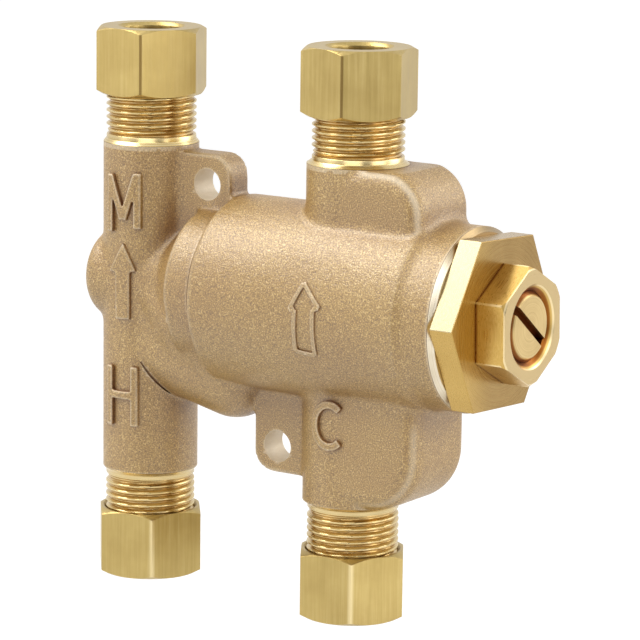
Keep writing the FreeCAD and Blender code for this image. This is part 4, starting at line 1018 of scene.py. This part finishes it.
HEXAGON_BEVEL = 0.00014
for port in ENDS:
    dress(port + "_nut", nut_metal[port], HEXAGON_BEVEL)
    dress(port + "_ferrule", inner_brass)
dress("bonnet", bonnet_brass, HEXAGON_BEVEL)
dress("lock_nut", lock_brass)
dress("adjusting_stem", stem_brass)
for node in ("overtravel_cup", "overtravel_plunger", "element_guide"):
    dress(node, inner_brass)
dress("element_cup", copper)
for node in ("overtravel_clip", "element_piston", "hot_strainer", "cold_strainer"):
    dress(node, steel)
for node in ("bonnet_oring", "stem_oring", "shuttle_oring", "hot_check_oring", "cold_check_oring",
             "hot_check_seal", "cold_check_seal"):
    dress(node, rubber)
for node in ("shuttle", "hot_check_body", "cold_check_body", "hot_check_guide", "cold_check_guide",
             "hot_check_poppet", "cold_check_poppet"):
    dress(node, plastic)


# Springs: each spring node is copied as a steel coil in its place, and the return spring is parted at its
# middle into two coils

def coil(name, node, cut=None, keep_left=True):
    # cut is the place along X where a spring that crosses two joints is parted, and keep_left says which
    # part this coil is
    item = bpy.data.objects.new(name, nodes[node].data.copy())
    scene.collection.objects.link(item)
    work = bmesh.new()
    work.from_mesh(item.data)
    bmesh.ops.remove_doubles(work, verts=work.verts, dist=SAME_POINT)
    if cut is not None:
        every = work.verts[:] + work.edges[:] + work.faces[:]
        parted = bmesh.ops.bisect_plane(work, geom=every, plane_co=(cut, 0, 0), plane_no=(1, 0, 0),
                                        clear_outer=keep_left, clear_inner=not keep_left)
        rim = [part for part in parted["geom_cut"] if isinstance(part, bmesh.types.BMEdge)]
        bmesh.ops.holes_fill(work, edges=rim)
    work.to_mesh(item.data)
    work.free()
    item.data.materials.clear()
    item.data.materials.append(steel)
    shade(item, 35)
    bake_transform(item)
    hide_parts(node)


def ends_of(node, along):
    # the middle of a node's low end, of its high end and of the whole node
    low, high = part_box(node)
    middle = (low + high) / 2
    first = middle.copy()
    last = middle.copy()
    first[along] = low[along]
    last[along] = high[along]
    return first, last, middle


left, right, middle = ends_of("return_spring", 0)
coil("return_coil_left", "return_spring", middle.x, True)
coil("return_coil_right", "return_spring", middle.x, False)
left, right, middle = ends_of("overtravel_spring", 0)
coil("overtravel_coil", "overtravel_spring")
for side in ("hot", "cold"):
    low, high, middle = ends_of(side + "_check_spring", 2)
    coil(side + "_check_coil", side + "_check_spring")

# Floor: a grey one that glows to white where it is seen, more so far off; from below it is clear

FLOOR_Z = cad_low.z - 0.05
FLOOR_REACH = 3.0
floor_mesh = bpy.data.meshes.new("floor")
floor_corners = []
for x, y in ((-1, -1), (1, -1), (1, 1), (-1, 1)):
    floor_corners.append((x * FLOOR_REACH, y * FLOOR_REACH, FLOOR_Z))
floor_mesh.from_pydata(floor_corners, [], [(0, 1, 2, 3)])
floor = bpy.data.objects.new("floor", floor_mesh)
scene.collection.objects.link(floor)
floor_material = bpy.data.materials.new("floor")
floor_material.use_nodes = True
n = floor_material.node_tree.nodes
k = floor_material.node_tree.links
n.clear()
paths = n.new("ShaderNodeLightPath")
seen = greater(n, k, paths.outputs["Is Camera Ray"], paths.outputs["Is Glossy Ray"])
seen = greater(n, k, seen, paths.outputs["Is Transmission Ray"])
where = n.new("ShaderNodeNewGeometry")
evened = spans(n, k, vector(n, k, "LENGTH", where.outputs["Position"]), 0.15, 1.2, 0.38, 0.80)
dull = n.new("ShaderNodeBsdfDiffuse")
dull.inputs["Color"].default_value = (0.62, 0.62, 0.62, 1)
glow = n.new("ShaderNodeEmission")
glow.inputs["Color"].default_value = (1, 1, 1, 1)
k.new(times(n, k, seen, evened), glow.inputs["Strength"])
both = n.new("ShaderNodeAddShader")
k.new(dull.outputs["BSDF"], both.inputs[0])
k.new(glow.outputs["Emission"], both.inputs[1])
clear = n.new("ShaderNodeBsdfTransparent")
one_sided = n.new("ShaderNodeMixShader")
k.new(where.outputs["Backfacing"], one_sided.inputs["Fac"])
k.new(both.outputs["Shader"], one_sided.inputs[1])
k.new(clear.outputs["BSDF"], one_sided.inputs[2])
output = n.new("ShaderNodeOutputMaterial")
k.new(one_sided.outputs["Shader"], output.inputs["Surface"])
floor_mesh.materials.append(floor_material)

# World: white where it is seen, dimmer in the metal behind the camera, quieter as a light

BEHIND_CAMERA = (0.546, -0.815, 0.198)
world = bpy.data.worlds.new("studio")
scene.world = world
world.use_nodes = True
n = world.node_tree.nodes
k = world.node_tree.links
backdrop = n["Background"]
backdrop.inputs["Color"].default_value = (1, 1, 1, 1)
source = n.new("ShaderNodeTexCoord")
behind = vector(n, k, "DOT_PRODUCT", source.outputs["Generated"], BEHIND_CAMERA)
room = spans(n, k, behind, 0.45, 0.92, 1.0, 0.35, "SMOOTHSTEP")
core = spans(n, k, behind, 0.90, 0.985, 1.0, 0.2, "SMOOTHSTEP")
paths = n.new("ShaderNodeLightPath")
share = spans(n, k, paths.outputs["Is Glossy Ray"], 0.0, 1.0, 0.40, 1.0)
lit = times(n, k, times(n, k, room, core), share)
seen = greater(n, k, paths.outputs["Is Camera Ray"], paths.outputs["Is Transmission Ray"])
k.new(greater(n, k, lit, seen), backdrop.inputs["Strength"])


# Lights and camera

def soft_light(name, spot, aim, size, brightness):
    # a softbox; its brightness is what a mirror would show of it, with white at 1
    data = bpy.data.lights.new(name, "AREA")
    data.shape = "RECTANGLE"
    data.size = size[0]
    data.size_y = size[1]
    data.energy = brightness * math.pi * size[0] * size[1]
    lamp = bpy.data.objects.new(name, data)
    lamp.location = spot
    lamp.rotation_euler = (Vector(aim) - Vector(spot)).to_track_quat("-Z", "Y").to_euler()
    scene.collection.objects.link(lamp)


LIGHT_AIM = (0.02, 0, -0.02)
soft_light("top", (-0.38, -0.16, 0.58), LIGHT_AIM, (0.50, 0.40), 6.4)
soft_light("key", (-0.42, -0.62, 0.12), LIGHT_AIM, (0.45, 0.40), 0.9)
soft_light("front", (0.20, -0.50, 0.50), LIGHT_AIM, (0.50, 0.40), 2.8)
soft_light("side", (0.70, -0.02, 0.16), LIGHT_AIM, (0.40, 0.60), 2.3)
soft_light("rim", (0.45, 0.50, 0.30), LIGHT_AIM, (0.40, 0.50), 2.8)

# The camera, fitted to the photograph: it looks at a point of the drawing, and the lens's centre is in pixels
AZIMUTH = math.radians(33.79)
ELEVATION = math.radians(11.404)
ROLL = math.radians(0.778)
DISTANCE = 538.433
LOOK_AT = Vector((33.339, 0, -9.007))
FOCAL_PIXELS = 3471.228
IMAGE = 640
CENTRE_X = 323.31
CENTRE_Y = 356.355
SENSOR = 36
level = math.cos(ELEVATION)
back = Vector((math.sin(AZIMUTH) * level, -math.cos(AZIMUTH) * level, math.sin(ELEVATION)))
across = Vector((math.cos(AZIMUTH), math.sin(AZIMUTH), 0))
up = back.cross(across)
rolled_right = math.cos(ROLL) * across + math.sin(ROLL) * up
rolled_up = math.cos(ROLL) * up - math.sin(ROLL) * across
eye = TO_FRAME @ (LOOK_AT + back * DISTANCE)
lens = bpy.data.cameras.new("camera")
lens.sensor_width = SENSOR
lens.lens = FOCAL_PIXELS * SENSOR / IMAGE
lens.shift_x = (IMAGE / 2 - CENTRE_X) / IMAGE
lens.shift_y = (CENTRE_Y - IMAGE / 2) / IMAGE
lens.clip_start = 0.01
lens.clip_end = 20
camera = bpy.data.objects.new("camera", lens)
stance = Matrix.Identity(4)
for row in range(3):
    stance[row][0] = rolled_right[row]
    stance[row][1] = rolled_up[row]
    stance[row][2] = back[row]
    stance[row][3] = eye[row]
camera.matrix_world = stance
scene.collection.objects.link(camera)
scene.camera = camera
scene.view_settings.view_transform = "Standard"
